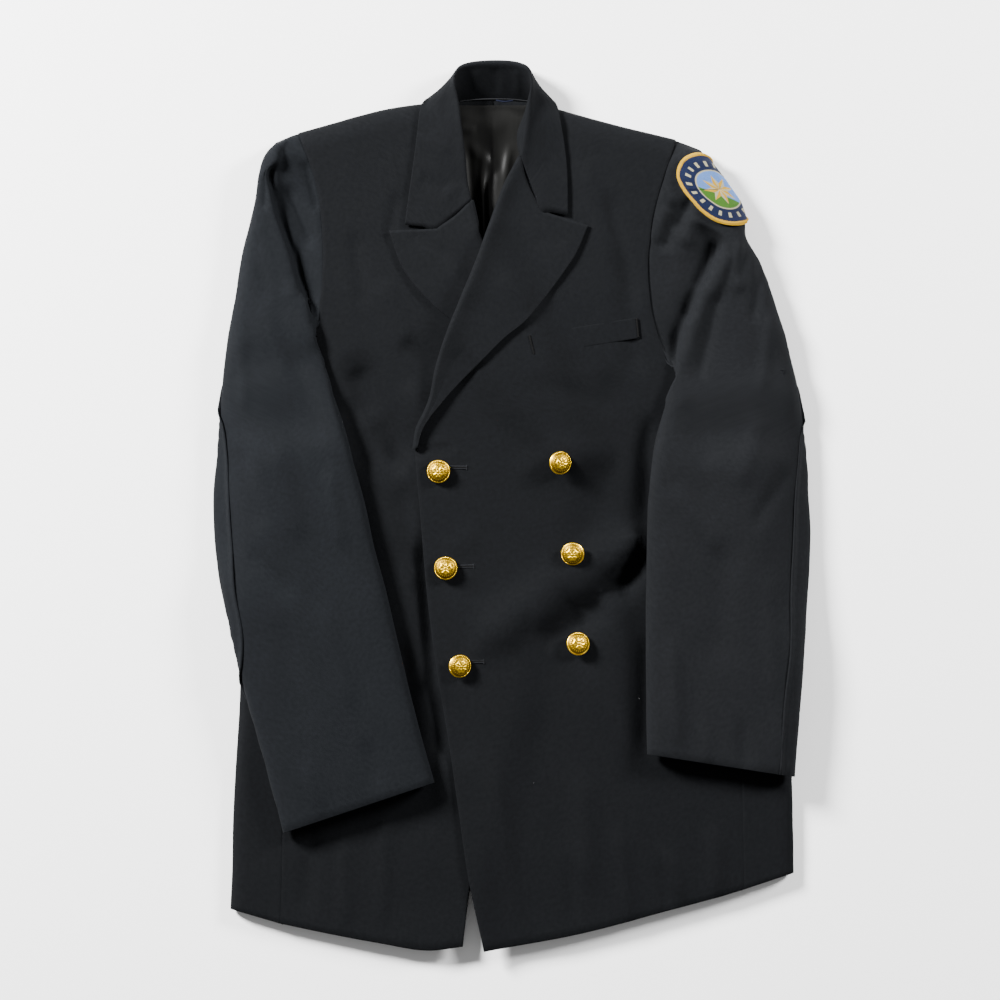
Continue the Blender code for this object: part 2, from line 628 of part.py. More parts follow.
def under_row(dense, seam, corner, in_head):
    """Points of the under sleeve from the seam at its back to the armhole or the seam beneath.

    In the head the first of them keep near the outer edge and the last go on to the armhole. Below
    the underarm those last ones stay at the end of the row, where the cloth has none of them.
    """
    part = dense[seam:]
    length = lengths(part)[-1]
    if not in_head:
        row = pick(part, np.linspace(HIND_GAP, length - SEAM_GAP, UNDER_COLUMNS + 1))
        return np.vstack([row] + [row[-1:]] * UNDERARM_COLUMNS)
    near = lengths(part)[corner - seam] if corner else min(UNDER_REACH, length / 2)
    return pick(part, np.concatenate([np.linspace(HIND_GAP, near, UNDER_COLUMNS + 1),
                                      np.linspace(near, length - SEAM_GAP, UNDERARM_COLUMNS + 1)[1:]]))


def sleeve_grids(head, tube, hind, valley_row, patch_room, surface):
    """Grids of the top sleeve and under sleeve, and the dense path of each row."""
    top_rows, under_rows, paths = [], [], []
    for row, (point, fold, edge) in enumerate(head + tube):
        dense, crest, edge_index, corner = sleeve_path(head, point, fold, edge, row, valley_row,
                                                       patch_room, surface)
        paths.append((dense, edge_index))
        if row == 0:
            cap = np.linspace(np.array(point), np.array(edge), (FRONT_COLUMNS + TOP_COLUMNS) // 2 + 1)
            cap = np.column_stack([cap, np.full(len(cap), seam_height(*point))])
            top_rows.append(np.vstack([cap, cap[-2::-1]]))
            continue
        s = lengths(dense)
        start = stretch(dense, 0, crest, FRONT_COLUMNS + 1, first_gap=SEAM_GAP)
        seam = hind_index(dense, edge_index, hind[row]) if row in hind else len(dense) - 1
        if seam > edge_index:
            near = OVER_COLUMNS
            if row in hind:
                share = (s[edge_index] - s[crest]) / (s[seam] - s[crest])
                near = int(np.clip(round(TOP_COLUMNS * share), 1, TOP_COLUMNS - 1))
                under_rows.append(under_row(dense, seam, corner, row < len(head) - 1))
            over = stretch(dense, crest, edge_index, near + 1)
            beyond = stretch(dense, edge_index, seam, TOP_COLUMNS - near + 1, last_gap=HIND_GAP)
            top_rows.append(np.vstack([start, over[1:], beyond[1:]]))
        else:
            over = stretch(dense, crest, seam, TOP_COLUMNS + 1, last_gap=HIND_GAP)
            top_rows.append(np.vstack([start, over[1:]]))
            lip = stretch(dense, seam, edge_index, 3, first_gap=HIND_GAP)
            beneath = stretch(dense, edge_index, len(dense) - 1, UNDER_COLUMNS - 1, last_gap=SEAM_GAP)
            under_rows.append(np.vstack([lip, beneath[1:]] + [beneath[-1:]] * UNDERARM_COLUMNS))
    return np.array(top_rows), np.array(under_rows), paths


def sleeve_point(paths, head, y, inboard):
    """Point of a sleeve's wall: y of its outer edge, and distance in from that edge."""
    edge_y = np.array([row[2][1] for row in head])
    place = float(np.interp(-y, -edge_y, np.arange(len(edge_y))))
    low = min(int(place), len(edge_y) - 2)
    ends = []
    for row in (low, low + 1):
        dense, edge_index = paths[row]
        ends.append(pick(dense, [lengths(dense)[edge_index] - inboard])[0])
    return ends[0] + (ends[1] - ends[0]) * (place - low)


def patch_point(paths, head, y, inboard):
    """Point of a sleeve's wall: its own y, and distance in from the outer edge."""
    edge_y = y
    for _ in range(4):
        point = sleeve_point(paths, head, edge_y, inboard)
        edge_y -= point[1] - y
    return point


def patch_grid(paths, head):
    """Round patch that follows the sleeve: spokes of rings from the middle out."""
    raised = SLEEVE_WALL / 2 + 1.8 + PATCH_WALL / 2
    grid = []
    for spoke in range(PATCH_SPOKES + 1):
        angle = 2 * math.pi * (spoke % PATCH_SPOKES) / PATCH_SPOKES
        row = []
        for ring in range(PATCH_RINGS + 1):
            radius = PATCH_DIAMETER / 2 * ring / PATCH_RINGS
            y = PATCH_CENTRE_Y + radius * math.sin(angle)
            inboard = PATCH_INBOARD + radius * math.cos(angle)
            along = patch_point(paths, head, y + 4, inboard) - patch_point(paths, head, y - 4, inboard)
            across = patch_point(paths, head, y, inboard + 3) - patch_point(paths, head, y, inboard - 3)
            normal = np.cross(along, across)
            normal /= np.linalg.norm(normal)
            row.append(patch_point(paths, head, y, inboard) + normal * raised)
        grid.append(row)
    return np.array(grid)


def roll_lift(distance):
    """How far a facing lifts near its roll line."""
    return ROLL_PUFF * np.exp(-(distance / ROLL_REACH) ** 2)


def collar_grid():
    """Collar rows from the stand's foot over the roll line to the edge of the leaf."""
    grid = []
    last = len(COLLAR_ROWS) - 1
    for index, (foot_x, foot_y, roll_x, roll_y, roll_z, edge_x, edge_y, edge_z) in enumerate(COLLAR_ROWS):
        behind = SHOULDER_FOOT_RIGHT < index < SHOULDER_FOOT_LEFT
        height = left_front_height if index > CENTRE_FOOT else front_height
        level = on_front(lambda x, y: height(x, y, COLLAR_CLEAR))
        foot = np.array((foot_x, foot_y, (back_height if behind else front_height)(foot_x, foot_y)))
        edge = np.array((edge_x, edge_y))
        plan = np.array((roll_x, roll_y))
        if index in (0, last):
            roll_z = float(level(roll_x, roll_y)) + ROLL_PUFF
        top = np.array((roll_x, roll_y, roll_z))
        row = [foot + (top - foot) * share for share in (0.0, 0.45, 0.85)]
        out = (edge - plan) / np.linalg.norm(edge - plan)
        if behind:
            back = np.array((0.0, 1.0))
            row.append(np.array((*(plan + back * 1.2), roll_z + 0.6)))
            for share, reach in ((0.2, 3.6), (0.5, 3.4), (0.8, 2.0)):
                row.append(np.array((*(plan + back * reach), roll_z + (edge_z + 2.0 - roll_z) * share)))
            for share in (0.3, 0.65, 1.0):
                p = plan + (edge - plan) * share
                row.append(np.array((*p, edge_z + 1.2 * (1 - share))))
        else:
            row.append(np.array((*(plan + out * 1.2), roll_z + 0.5)))
            bend = np.array(GORGE_RIGHT[-1] if index == 0 else GORGE_LEFT[-1])
            start = float(level(*plan))
            for step in range(1, 7):
                if index in (0, last):
                    if step <= 3:
                        p = plan + (bend - plan) * step / 3
                    else:
                        p = bend + (edge - bend) * (step - 3) / 3
                    z = level(*p) + roll_lift(np.linalg.norm(p - plan))
                else:
                    share = step / 6
                    p = plan + (edge - plan) * share
                    z = level(*p) + (roll_z - start) * (1 - share) ** 1.6
                row.append(np.array((*p, float(z))))
        grid.append(row)
    return np.array(grid)


def lapel_grid(roll_line, edge, gorge, height):
    """Turned lapel from its break to the gorge, with an edge that rolls round the front's own."""
    roll_points = np.array(roll_line)
    rows = len(roll_points)
    outer = even(edge, rows)
    top = join(even(gorge, 4), np.linspace(np.array(gorge[-1]), outer[-1], LAPEL_COLUMNS - 3))
    foot = np.linspace(roll_points[0], outer[0], len(top))
    plan = coons(foot, top, roll_points, outer)
    level = on_front(height)
    grid = drape(plan, level)
    grid[..., 2] += roll_lift(np.linalg.norm(plan - plan[:, :1], axis=-1))
    tangent = np.gradient(roll_points, axis=0)
    away = np.stack([tangent[:, 1], -tangent[:, 0]], axis=1)
    away /= np.linalg.norm(away, axis=1, keepdims=True)
    if np.dot(away[rows // 2], plan[rows // 2, -1] - roll_points[rows // 2]) > 0:
        away = -away
    body = height(roll_points[:, 0], roll_points[:, 1])
    crown = grid[:, 0, 2]
    turn = np.column_stack([roll_points + away * 1.5, crown - 0.9])
    lip = np.column_stack([roll_points + away * 1.9, body - 0.4])
    return np.concatenate([lip[:, None], turn[:, None], grid], axis=1)


def button_mesh(material):
    """Domed shank button turned from its profile, from the shank's foot to the top of the dome."""
    radius = BUTTON_DIAMETER / 2
    rim = BUTTON_RIM
    profile = [(0.0, 0.0), (SHANK_RADIUS, 0.0), (SHANK_RADIUS, BUTTON_SHANK), (radius * 0.8, BUTTON_SHANK),
               (radius, BUTTON_SHANK + 0.5), (radius, BUTTON_SHANK + 1.2), (radius - rim, BUTTON_SHANK + 1.9)]
    dome_base = BUTTON_SHANK + 1.7
    for angle in (18, 42, 66, 90):
        a = math.radians(angle)
        profile.append(((radius - rim - 0.4) * math.cos(a), dome_base + BUTTON_DOME * math.sin(a)))
    mesh = bpy.data.meshes.new("button")
    bm = bmesh.new()
    verts = [bm.verts.new((x * MM, 0.0, z * MM)) for x, z in profile[::-1]]
    for a, b in zip(verts, verts[1:]):
        bm.edges.new((a, b))
    bmesh.ops.spin(bm, geom=bm.verts[:] + bm.edges[:], cent=(0, 0, 0), axis=(0, 0, 1),
                   angle=2 * math.pi, steps=BUTTON_SIDES, use_merge=True)
    bmesh.ops.remove_doubles(bm, verts=bm.verts, dist=0.01 * MM)
    bmesh.ops.recalc_face_normals(bm, faces=bm.faces)
    bm.to_mesh(mesh)
    bm.free()
    mesh.shade_smooth()
    mesh.set_sharp_from_angle(angle=math.radians(40))
    mesh.materials.append(material)
    return mesh


def build():
    for item in list(bpy.data.objects):
        bpy.data.objects.remove(item, do_unlink=True)
    collection = bpy.data.collections.new("dress_uniform_jacket")
    bpy.context.scene.collection.children.link(collection)
    wool = principled("wool", (0.018, 0.019, 0.022), 0.85)
    satin = principled("satin", (0.012, 0.012, 0.012), 0.3)
    gilt = principled("gilt", (0.85, 0.55, 0.15), 0.3, 1.0)
    embroidery = principled("embroidery", (0.75, 0.45, 0.05), 0.7)
    half = SEAM_GAP / 2
    neck_pull = FACING_WALL / 2 + 1.1

    sides = (
        # name, side rows, fold column, sign, hem, back hem, head, tube,
        # hind seam, shoulder, front edge, roll line, height
        ("right", SIDE_ROWS_RIGHT, 1, 1, HEM_RIGHT, HEM_BACK_RIGHT, SLEEVE_HEAD_RIGHT, SLEEVE_TUBE_RIGHT,
         HIND_RIGHT, SHOULDER_RIGHT, FRONT_EDGE_RIGHT, ROLL_RIGHT, front_height),
        ("left", SIDE_ROWS_LEFT, 2, -1, HEM_LEFT, HEM_BACK_LEFT, SLEEVE_HEAD_LEFT, SLEEVE_TUBE_LEFT,
         HIND_LEFT, SHOULDER_LEFT, FRONT_EDGE_LEFT, ROLL_LEFT, left_front_height),
    )
    for (name, rows, fold_column, sign, hem, back_hem, head, tube, hind, shoulder, edge, roll_line,
         height) in sides:
        # Panels of the body
        hole = armhole(head, len(head) - 1)
        panel_rows = len(rows) + len(hole) - 1
        seam = join(side_seam(rows, "front", fold_column, sign), hole)
        shoulder_points = even(shoulder, FRONT_PANEL_COLUMNS)
        if name == "right":
            neck = neck_foot(1, SHOULDER_FOOT_RIGHT)
            back_neck = neck_foot(SHOULDER_FOOT_RIGHT, CENTRE_FOOT)
        else:
            neck = neck_foot(SHOULDER_FOOT_LEFT, len(COLLAR_ROWS) - 2)[::-1]
            back_neck = neck_foot(CENTRE_FOOT, SHOULDER_FOOT_LEFT)[::-1]
        edge_rows = panel_rows - (len(roll_line) - 1) - len(neck)
        inner = np.vstack([even(edge, edge_rows), np.array(roll_line)[1:], neck])
        plan = coons(even(hem, FRONT_PANEL_COLUMNS), shoulder_points, seam, inner)
        grid = drape(plan, height)
        grid = draw_back(grid, last_row=SHOULDER_GAP, first_column=half, last_column=half)
        neck_rows = slice(panel_rows - len(neck) - 1, panel_rows)
        grid[neck_rows] = draw_back(grid[neck_rows], last_column=neck_pull)
        sheet("front_" + name, grid, FRONT_WALL, wool, collection)

        seam = join(side_seam(rows, "back", fold_column, sign), hole)
        top = join(shoulder_points, back_neck)
        plan = coons(even(back_hem, len(top)), top, seam, even(CENTRE_BACK, panel_rows))
        grid = drape(plan, back_height)
        grid = draw_back(grid, last_row=SHOULDER_GAP, first_column=half, last_column=half)
        grid[:, -len(back_neck):] = draw_back(grid[:, -len(back_neck):], last_row=neck_pull)
        sheet("back_" + name, grid, BACK_WALL, wool, collection)

        grid = side_body(rows, fold_column, sign)
        grid = draw_back(grid, last_row=half, first_column=half, last_column=half)
        sheet("side_" + name, grid, BACK_WALL, wool, collection)

        # Lapel
        gorge = GORGE_RIGHT if name == "right" else GORGE_LEFT
        lapel_edge = LAPEL_EDGE_RIGHT if name == "right" else LAPEL_EDGE_LEFT
        grid = draw_back(lapel_grid(roll_line, lapel_edge, gorge, height), last_row=half)
        sheet("lapel_" + name, grid, FACING_WALL, wool, collection)

        # Sleeve
        def surface(x, y):
            fold = row_value(y, fold_column)
            inside = (x - fold) * sign
            return (loft(x, y) + FRONT_WALL / 2 + SLEEVE_CLEAR) * smoothstep((inside + 24.0) / 16.0)

        valley_row = 2 if name == "right" else 5
        patch_room = 0.0 if name == "right" else PATCH_ROOM
        top_grid, under_grid, paths = sleeve_grids(head, tube, hind, valley_row, patch_room, surface)
        sheet("sleeve_top_" + name, top_grid, SLEEVE_WALL, wool, collection, merge=True)
        underarm = (len(head) - 2 - min(hind), UNDER_COLUMNS)
        sheet("sleeve_under_" + name, under_grid, SLEEVE_WALL, wool, collection, merge=True,
              without=underarm)
        if name == "left":
            grid = patch_grid(paths, head)
            sheet("sleeve_patch", grid, PATCH_WALL, embroidery, collection, merge=True)

    grid = draw_back(collar_grid(), first_row=half, last_row=half)
    sheet("collar", grid, FACING_WALL, wool, collection)

    # Lining that shows in the neck
    left, right = even(LINING_LEFT, 10), even(LINING_RIGHT, 10)
    low, high = np.linspace(left[-1], right[-1], 9), np.linspace(left[0], right[0], 9)
    plan = coons(low, high, left[::-1], right[::-1])
    on_back = BACK_WALL / 2 + LINING_CLEAR + LINING_WALL / 2

    def lining_height(x, y):
        return back_height(x, y) + on_back + folds(x, y, LINING_FOLDS)

    sheet("back_lining", drape(plan, lining_height), LINING_WALL, satin, collection)

    # Breast welt
    a, b, c, d = (np.array(corner) for corner in WELT)
    plan = coons(np.linspace(a, b, 7), np.linspace(d, c, 7), np.linspace(a, d, 3), np.linspace(b, c, 3))
    raised = FRONT_WALL / 2 + 1.0 + WELT_WALL / 2

    def welt_height(x, y):
        return left_front_height(x, y) + raised

    sheet("breast_welt", drape(plan, welt_height), WELT_WALL, wool, collection)

    # Buttons
    mesh = button_mesh(gilt)
    for number, (x, y, lean_x, lean_y, lift) in enumerate(BUTTONS):
        button = bpy.data.objects.new("button_" + str(number + 1), mesh)
        lift += SHANK_RADIUS * math.sin(math.radians(max(abs(lean_x), abs(lean_y))))
        z = float(left_front_height(x, y)) + FRONT_WALL / 2 + lift
        button.location = (np.array((x, y, z)) - MIDDLE) * MM
        button.rotation_euler = (math.radians(lean_x), math.radians(lean_y), 0.0)
        collection.objects.link(button)


build()
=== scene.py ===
"""Looks of the dress uniform jacket: fine cloth, gilt buttons, sewing and a sleeve patch, built round
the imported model, with a pale floor, soft light and a camera straight above.

It is laid out as an add-on and run as a script. The tables hold millimetres in the model's plan:
x to the viewer's right (the wearer's left), y towards the collar, z up from the floor.
"""

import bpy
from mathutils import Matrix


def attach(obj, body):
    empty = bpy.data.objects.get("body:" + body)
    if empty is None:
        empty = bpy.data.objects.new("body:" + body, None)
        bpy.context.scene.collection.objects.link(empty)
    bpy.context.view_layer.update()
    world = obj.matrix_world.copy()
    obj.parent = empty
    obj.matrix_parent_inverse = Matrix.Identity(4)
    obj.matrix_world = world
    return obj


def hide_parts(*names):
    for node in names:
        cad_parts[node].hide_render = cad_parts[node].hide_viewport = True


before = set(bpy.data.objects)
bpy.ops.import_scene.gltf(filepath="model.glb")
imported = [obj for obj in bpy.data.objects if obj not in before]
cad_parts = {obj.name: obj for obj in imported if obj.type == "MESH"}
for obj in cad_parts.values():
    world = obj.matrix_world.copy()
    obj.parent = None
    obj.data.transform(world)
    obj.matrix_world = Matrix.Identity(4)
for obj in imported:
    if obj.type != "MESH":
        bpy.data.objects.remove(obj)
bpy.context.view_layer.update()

import math

import bmesh
import bpy
import numpy as np
from mathutils import Euler, Matrix, Vector

bl_info = {
    "name": "Dress uniform jacket",
    "version": (1, 0, 0),
    "blender": (4, 5, 0),
    "location": "3D View > Sidebar > Jacket",
    "description": "Builds the cloth, buttons, patch and stage of a laid dress uniform jacket",
    "category": "Object",
}

MM = 0.001

# Middle of the finished part in the tables' plan: the model's origin
MIDDLE = np.array((-0.250, 1.941, 0.0))

# Wall thickness of each kind of cloth piece, and the room kept between pieces, in millimetres
BACK_WALL = 2.0
FRONT_WALL = 2.5
FACING_WALL = 1.6
SLEEVE_WALL = 1.2
LINING_WALL = 1.0
WELT_WALL = 1.2
PATCH_WALL = 1.2
PATCH_ROOM = 5.3
FACING_CLEAR = 1.8
LAPEL_CLEAR = 2.5
FRONT_CLEAR = 1.4

# Gilt shank button: 35 ligne
BUTTON_DIAMETER = 22.2
BUTTON_DOME = 5.0
BUTTON_SHANK = 2.6
SHANK_RADIUS = 3.2

# Round patch at the head of the wearer's left sleeve
PATCH_DIAMETER = 68.0

# Roll of the cloth over the shoulder seam and over the side, in plan
SHOULDER_ROLL = 20.0
SIDE_ROLL = 13.0

# Height of the laid body: y, the folds at the viewer's left and right, the height of the
# front cloth near the folds and along the middle
BODY_ROWS = np.array([
    # y, left fold, right fold, side height, middle height
    (-428.9, -266.5, 263.6, 9.0, 12.0),
    (-381.4, -266.5, 265.5, 9.0, 12.5),
    (-338.7, -264.6, 265.5, 10.0, 14.0),
    (-253.2, -262.7, 263.6, 11.0, 16.0),
    (-172.4, -256, 259.8, 12.0, 17.0),
    (-86.9, -256, 256, 12.5, 18.0),
    (8.1, -253.2, 252.2, 13.0, 19.0),
    (74.6, -250.3, 249.4, 13.5, 21.0),
    (129.7, -249.4, 249.4, 14.0, 23.0),
    (205.7, -249.4, 249.4, 17.0, 23.0),
    (293.1, -249.4, 249.4, 20.0, 18.0),
    (388.1, -249.4, 249.4, 20.0, 15.0),
])
UNDERARM_Y = 129.7

# Largest folds of the body: start, end, half width, height (a trough is negative)
BODY_FOLDS = (
    # x0, y0, x1, y1, half width, height
    (121.1, -20.4, -35.6, -124.9, 17, 6.0),
    (123, -45.1, 45.1, -107.8, 13, -5.0),
    (-152.5, 145.8, -102.1, 41.3, 15, -5.0),
    (-173.4, 103.1, -111.6, -48.9, 22, 3.0),
    (143.9, -324.4, 159.1, -371.9, 10, 2.0),
    (67, -248.4, 71.7, -362.4, 10, 1.6),
    (-68.9, -172.4, -40.4, -238.9, 12, -2.0),
)

# Shoulder seam as seen, from the sleeve head to the neck, for each side
SHOULDER_RIGHT = ((-201.9, 355.3), (-170.5, 364.3), (-144.9, 371.4), (-119.2, 377.6), (-79.3, 383.3),
                  (-59.4, 384.3))
SHOULDER_LEFT = ((153.4, 349.1), (121.1, 356.7), (92.6, 364.3), (64.1, 371.9), (43.2, 377.6), (23.3, 383.3))

# Armhole of each side from the shoulder seam to the underarm, then how the sleeve lies at it.
# Fold is the edge of the sleeve's long front fold and edge is its outer outline.
# Each row: armhole point, fold point, edge point
SLEEVE_HEAD_RIGHT = (
    # armhole, fold, edge
    ((-201.9, 355.3), (-213.3, 353.9), (-223.7, 346.3)),
    ((-199, 349.1), (-215.2, 346.3), (-230.4, 339.6)),
    ((-195.2, 338.7), (-220.9, 333), (-236.1, 330.1)),
    ((-189.5, 323.5), (-232.3, 317.8), (-239.9, 314.9)),
    ((-183.8, 302.6), (-229.4, 296.9), (-243.2, 295.9)),
    ((-180, 278.8), (-223.7, 276.9), (-247.5, 277.9)),
    ((-178.1, 250.3), (-214.2, 250.3), (-254.6, 250.3)),
    ((-178.6, 221.8), (-204.7, 221.8), (-259.8, 221.8)),
    ((-181, 195.2), (-196.2, 195.2), (-264.1, 195.2)),
    ((-187.6, 167.7), (-186.7, 168.6), (-268.8, 167.7)),
    ((-201.9, 148.7), (-178.1, 141.1), (-273.1, 139.2)),
    ((-221.8, 137.3), (-169.6, 114.5), (-275.9, 112.6)),
    ((-254.6, 133.5), (-161, 86), (-278.3, 80.3)),
)
SLEEVE_TUBE_RIGHT = (
    # seam under the sleeve, fold, edge
    ((-232.3, 98.3), (-152.5, 57.5), (-281.2, 48)),
    ((-201.9, 50.8), (-143.9, 23.3), (-284.1, 11.9)),
    ((-175.3, -6.2), (-132.5, -23.3), (-283.1, -30.9)),
    ((-158.2, -63.2), (-121.1, -70.8), (-276, -79.3)),
    ((-144.9, -111.6), (-109.7, -118.3), (-265.5, -127.8)),
    ((-133.5, -159.1), (-98.3, -165.8), (-252.2, -180)),
    ((-121.1, -208.5), (-86.9, -211.4), (-235.1, -240.8)),
    ((-106.9, -269.3), (-73.6, -258.9), (-217.1, -307.3)),
)
SLEEVE_HEAD_LEFT = (
    # armhole, fold, edge
    ((153.4, 349.1), (164.8, 345.3), (178.1, 339.6)),
    ((151.5, 342.5), (162.9, 338.7), (182.9, 333)),
    ((147.7, 331.1), (162.9, 329.2), (187.6, 325.4)),
    ((141.1, 312.1), (162, 312.1), (198.1, 312.1)),
    ((134.4, 289.3), (164.8, 289.3), (214.2, 289.3)),
    ((130.6, 272.2), (176.2, 272.2), (219.9, 273.1)),
    ((128.7, 255.1), (199, 255.1), (221.3, 256)),
    ((126.8, 234.2), (190.5, 234.2), (234.2, 234.2)),
    ((127.8, 207.6), (180, 208.5), (244.1, 208.5)),
    ((131.6, 181), (168.6, 181.9), (251.3, 186.7)),
    ((140.1, 154.4), (160.1, 154.4), (259.3, 163.9)),
    ((155.3, 131.6), (152.5, 130.6), (265.2, 140.1)),
    ((189.5, 118.3), (143.9, 103.1), (271.8, 107.8)),
    ((254.6, 130.6), (136.3, 72.7), (276.9, 72.7)),
)
SLEEVE_TUBE_LEFT = (
    # seam under the sleeve, fold, edge
    ((227.5, 98.3), (131.6, 44.2), (279.8, 46.1)),
    ((195.2, 50.8), (127.8, 13.8), (281.7, 12.8)),
    ((168.6, -10.9), (125.9, -29.9), (283.6, -29.9)),
    ((159.1, -72.7), (125.9, -79.3), (280.7, -81.2)),
    ((159.1, -124.9), (125.9, -129.7), (277.4, -132.5)),
    ((159.1, -180), (125.9, -181.9), (273.1, -189.5)),
    ((160.1, -237), (126.8, -232.3), (267.4, -254.1)),
)

# Side bodies from the hem up to the armhole: y at the fold, at the front seam and at the back
# seam, and how far in from the fold the seams lie
SIDE_ROWS_RIGHT = (
    # fold y, front seam y, back seam y, reach
    (-380.5, -393.8, -377.6, 46.0),
    (-338.7, -343.4, -338.7, 46.0),
    (-276.9, -276.9, -276.9, 46.0),
    (-210.4, -210.4, -210.4, 46.0),
    (-134.4, -134.4, -134.4, 46.0),
    (-58.4, -58.4, -58.4, 46.0),
    (17.6, 17.6, 17.6, 44.0),
    (79.3, 81.2, 81.2, 38.0),
    (122.1, 134.4, 134.4, 27.5),
)
SIDE_ROWS_LEFT = (
    # fold y, front seam y, back seam y, reach
    (-346.3, -361.5, -347.2, 46.0),
    (-305.4, -311.1, -305.4, 46.0),
    (-253.2, -256, -253.2, 46.0),
    (-191.4, -191.4, -191.4, 46.0),
    (-124.9, -124.9, -124.9, 46.0),
    (-53.7, -53.7, -53.7, 47.0),
    (12.8, 12.8, 12.8, 50.0),
    (74.6, 74.6, 74.6, 54.0),
    (119.2, 115.4, 115.4, 59.9),
)
SIDE_COLUMNS = (0.08, 0.2, 0.4, 0.7, 1.0)

# Hems between the seams of the side bodies, from the side to the front edge or the centre back
HEM_RIGHT = ((-220.5, -393.8), (-175.3, -403.3), (-124, -412.8), (-81.2, -419.4), (-47, -415.6))
HEM_LEFT = ((218.6, -361.5), (193.3, -369.1), (143.9, -382.4), (65.1, -403.3), (-27.1, -420.4))
HEM_BACK_RIGHT = ((-220.5, -377.6), (-125.9, -369.1), (-35.6, -361.5))
HEM_BACK_LEFT = ((218.6, -347.2), (83.1, -354.8), (-35.6, -361.5))
CENTRE_BACK = ((-35.6, -361.5), (-30.9, -181.9), (-23.3, 103.1), (-17.6, 386.6))

# Free front edges from the hem to the lapel's break, and roll lines on to the gorge. The
# wearer's right front runs on under the left one.
FRONT_EDGE_RIGHT = ((-47, -415.6), (-44.2, -391.9), (-40.4, -360.5), (-19.5, -248.4), (14.7, -86.9),
                    (57.5, 53.7))
ROLL_RIGHT = ((57.5, 53.7), (36.6, 103.1), (15.7, 155.3), (-7.1, 202.8), (-27.1, 247.5), (-31.8, 259.8),
              (-37.5, 283.6), (-39.4, 291.2))
FRONT_EDGE_LEFT = ((-27.1, -420.4), (-33.7, -388.1), (-44.6, -337.7), (-56.5, -246.5), (-71.7, -155.3),
                   (-80.3, -89.8), (-86.9, -15.7), (-87.9, 25.2), (-92.1, 55.6))
ROLL_LEFT = ((-92.1, 55.6), (-88.8, 74.6), (-81.2, 90.7), (-76.5, 103.1), (-69.8, 135.4), (-55.6, 176.2),
             (-34.7, 225.6), (-18.5, 271.2), (-5.2, 307.3), (8.1, 333))

# Edge of each turned lapel from the break to the peak, and its top edge from the roll line by the
# end of the gorge seam to the peak
LAPEL_EDGE_RIGHT = ((50.8, 57.5), (16.6, 91.7), (-15.7, 133.5), (-55.6, 176.2), (-74.6, 191.4),
                    (-91.7, 209.5), (-105.9, 230.4), (-114.5, 255.1), (-116.8, 262.7))
LAPEL_EDGE_LEFT = ((-89.8, 57.5), (-85, 74.6), (-77.4, 86.9), (-67.9, 98.3), (-54.6, 113.5), (-30.9, 137.3),
                   (-7.1, 161), (11.9, 176.2), (27.1, 194.3), (45.1, 218), (60.3, 240.8), (71.7, 267.4))
GORGE_RIGHT = ((-39.4, 291.2), (-53.7, 276.9), (-71.7, 264.6))
GORGE_LEFT = ((8.1, 333), (12.8, 310.2), (27.1, 281.7))

# Collar, once round the neck from the gorge on the viewer's left to the one on the right:
# seam at the stand's foot, roll line and outer edge
COLLAR_ROWS = (
    # foot x, foot y, roll x, roll y, roll height, edge x, edge y, edge height (0 lies on the front)
    (-40, 293.1, -39.4, 291.2, 22.0, -102.1, 268.4, 0.0),
    (-44.2, 308.3, -43.2, 310.2, 23.5, -98.3, 296.9, 0.0),
    (-48.9, 333, -45.1, 335.8, 25.5, -94.5, 323.5, 0.0),
    (-52.7, 355.8, -48, 362.4, 27.5, -90.7, 352, 0.0),
    (-56.5, 374.8, -50.8, 385.2, 28.5, -87.9, 375.7, 0.0),
    (-59.4, 384.3, -54.1, 401.4, 28.5, -84.5, 385.2, 0.0),
    (-52.7, 385.2, -52.7, 411.8, 27.0, -72.7, 389, 6.5),
    (-42.3, 386.2, -43.2, 417.5, 24.0, -54.6, 384.3, 1.1),
    (-17.6, 386.6, -16.6, 419.9, 22.0, -17.6, 380.5, 1.1),
    (5.2, 386.2, 6.2, 417.5, 24.0, 16.6, 383.3, 1.1),
    (16.6, 385.2, 15.7, 411.8, 27.0, 31.8, 388.1, 6.5),
    (23.3, 383.3, 17.1, 401.4, 28.5, 41.3, 382.4, 0.0),
    (12.8, 371.9, 15.7, 388.1, 28.0, 45.1, 368.1, 0.0),
    (5.2, 355.8, 13.3, 365.3, 27.0, 48.9, 347.2, 0.0),
    (5.2, 342.5, 10.4, 344.4, 24.5, 51.8, 321.6, 0.0),
    (7.5, 334.4, 8.1, 333, 22.0, 52.7, 276.9, 0.0),
)
SHOULDER_FOOT_RIGHT = 5
CENTRE_FOOT = 8
SHOULDER_FOOT_LEFT = 11

# Where the seam at the back of each sleeve lies: distance inboard of the outer edge on the top,
# or a share of the way back under the sleeve, by row
HIND_RIGHT = {7: -0.92, 8: -0.78, 9: -0.58, 10: -0.32, 11: -0.1, 12: 6.0, 13: 13.0, 14: 18.0, 15: 20.0,
              16: 20.0, 17: 12.0, 18: -0.04, 19: -0.08, 20: -0.12}
HIND_LEFT = {8: -0.85, 9: -0.68, 10: -0.45, 11: -0.22, 12: -0.08, 13: 5.0, 14: 10.0, 15: 16.0, 16: 20.0,
             17: 22.0, 18: 20.0, 19: 18.0, 20: 15.0}
SLEEVE_HEIGHT = 25.0
SLEEVE_TUBE = 13.0
SLEEVE_VALLEY = 7.0
SLEEVE_CLEAR = 1.6
PATH_STEPS = 12

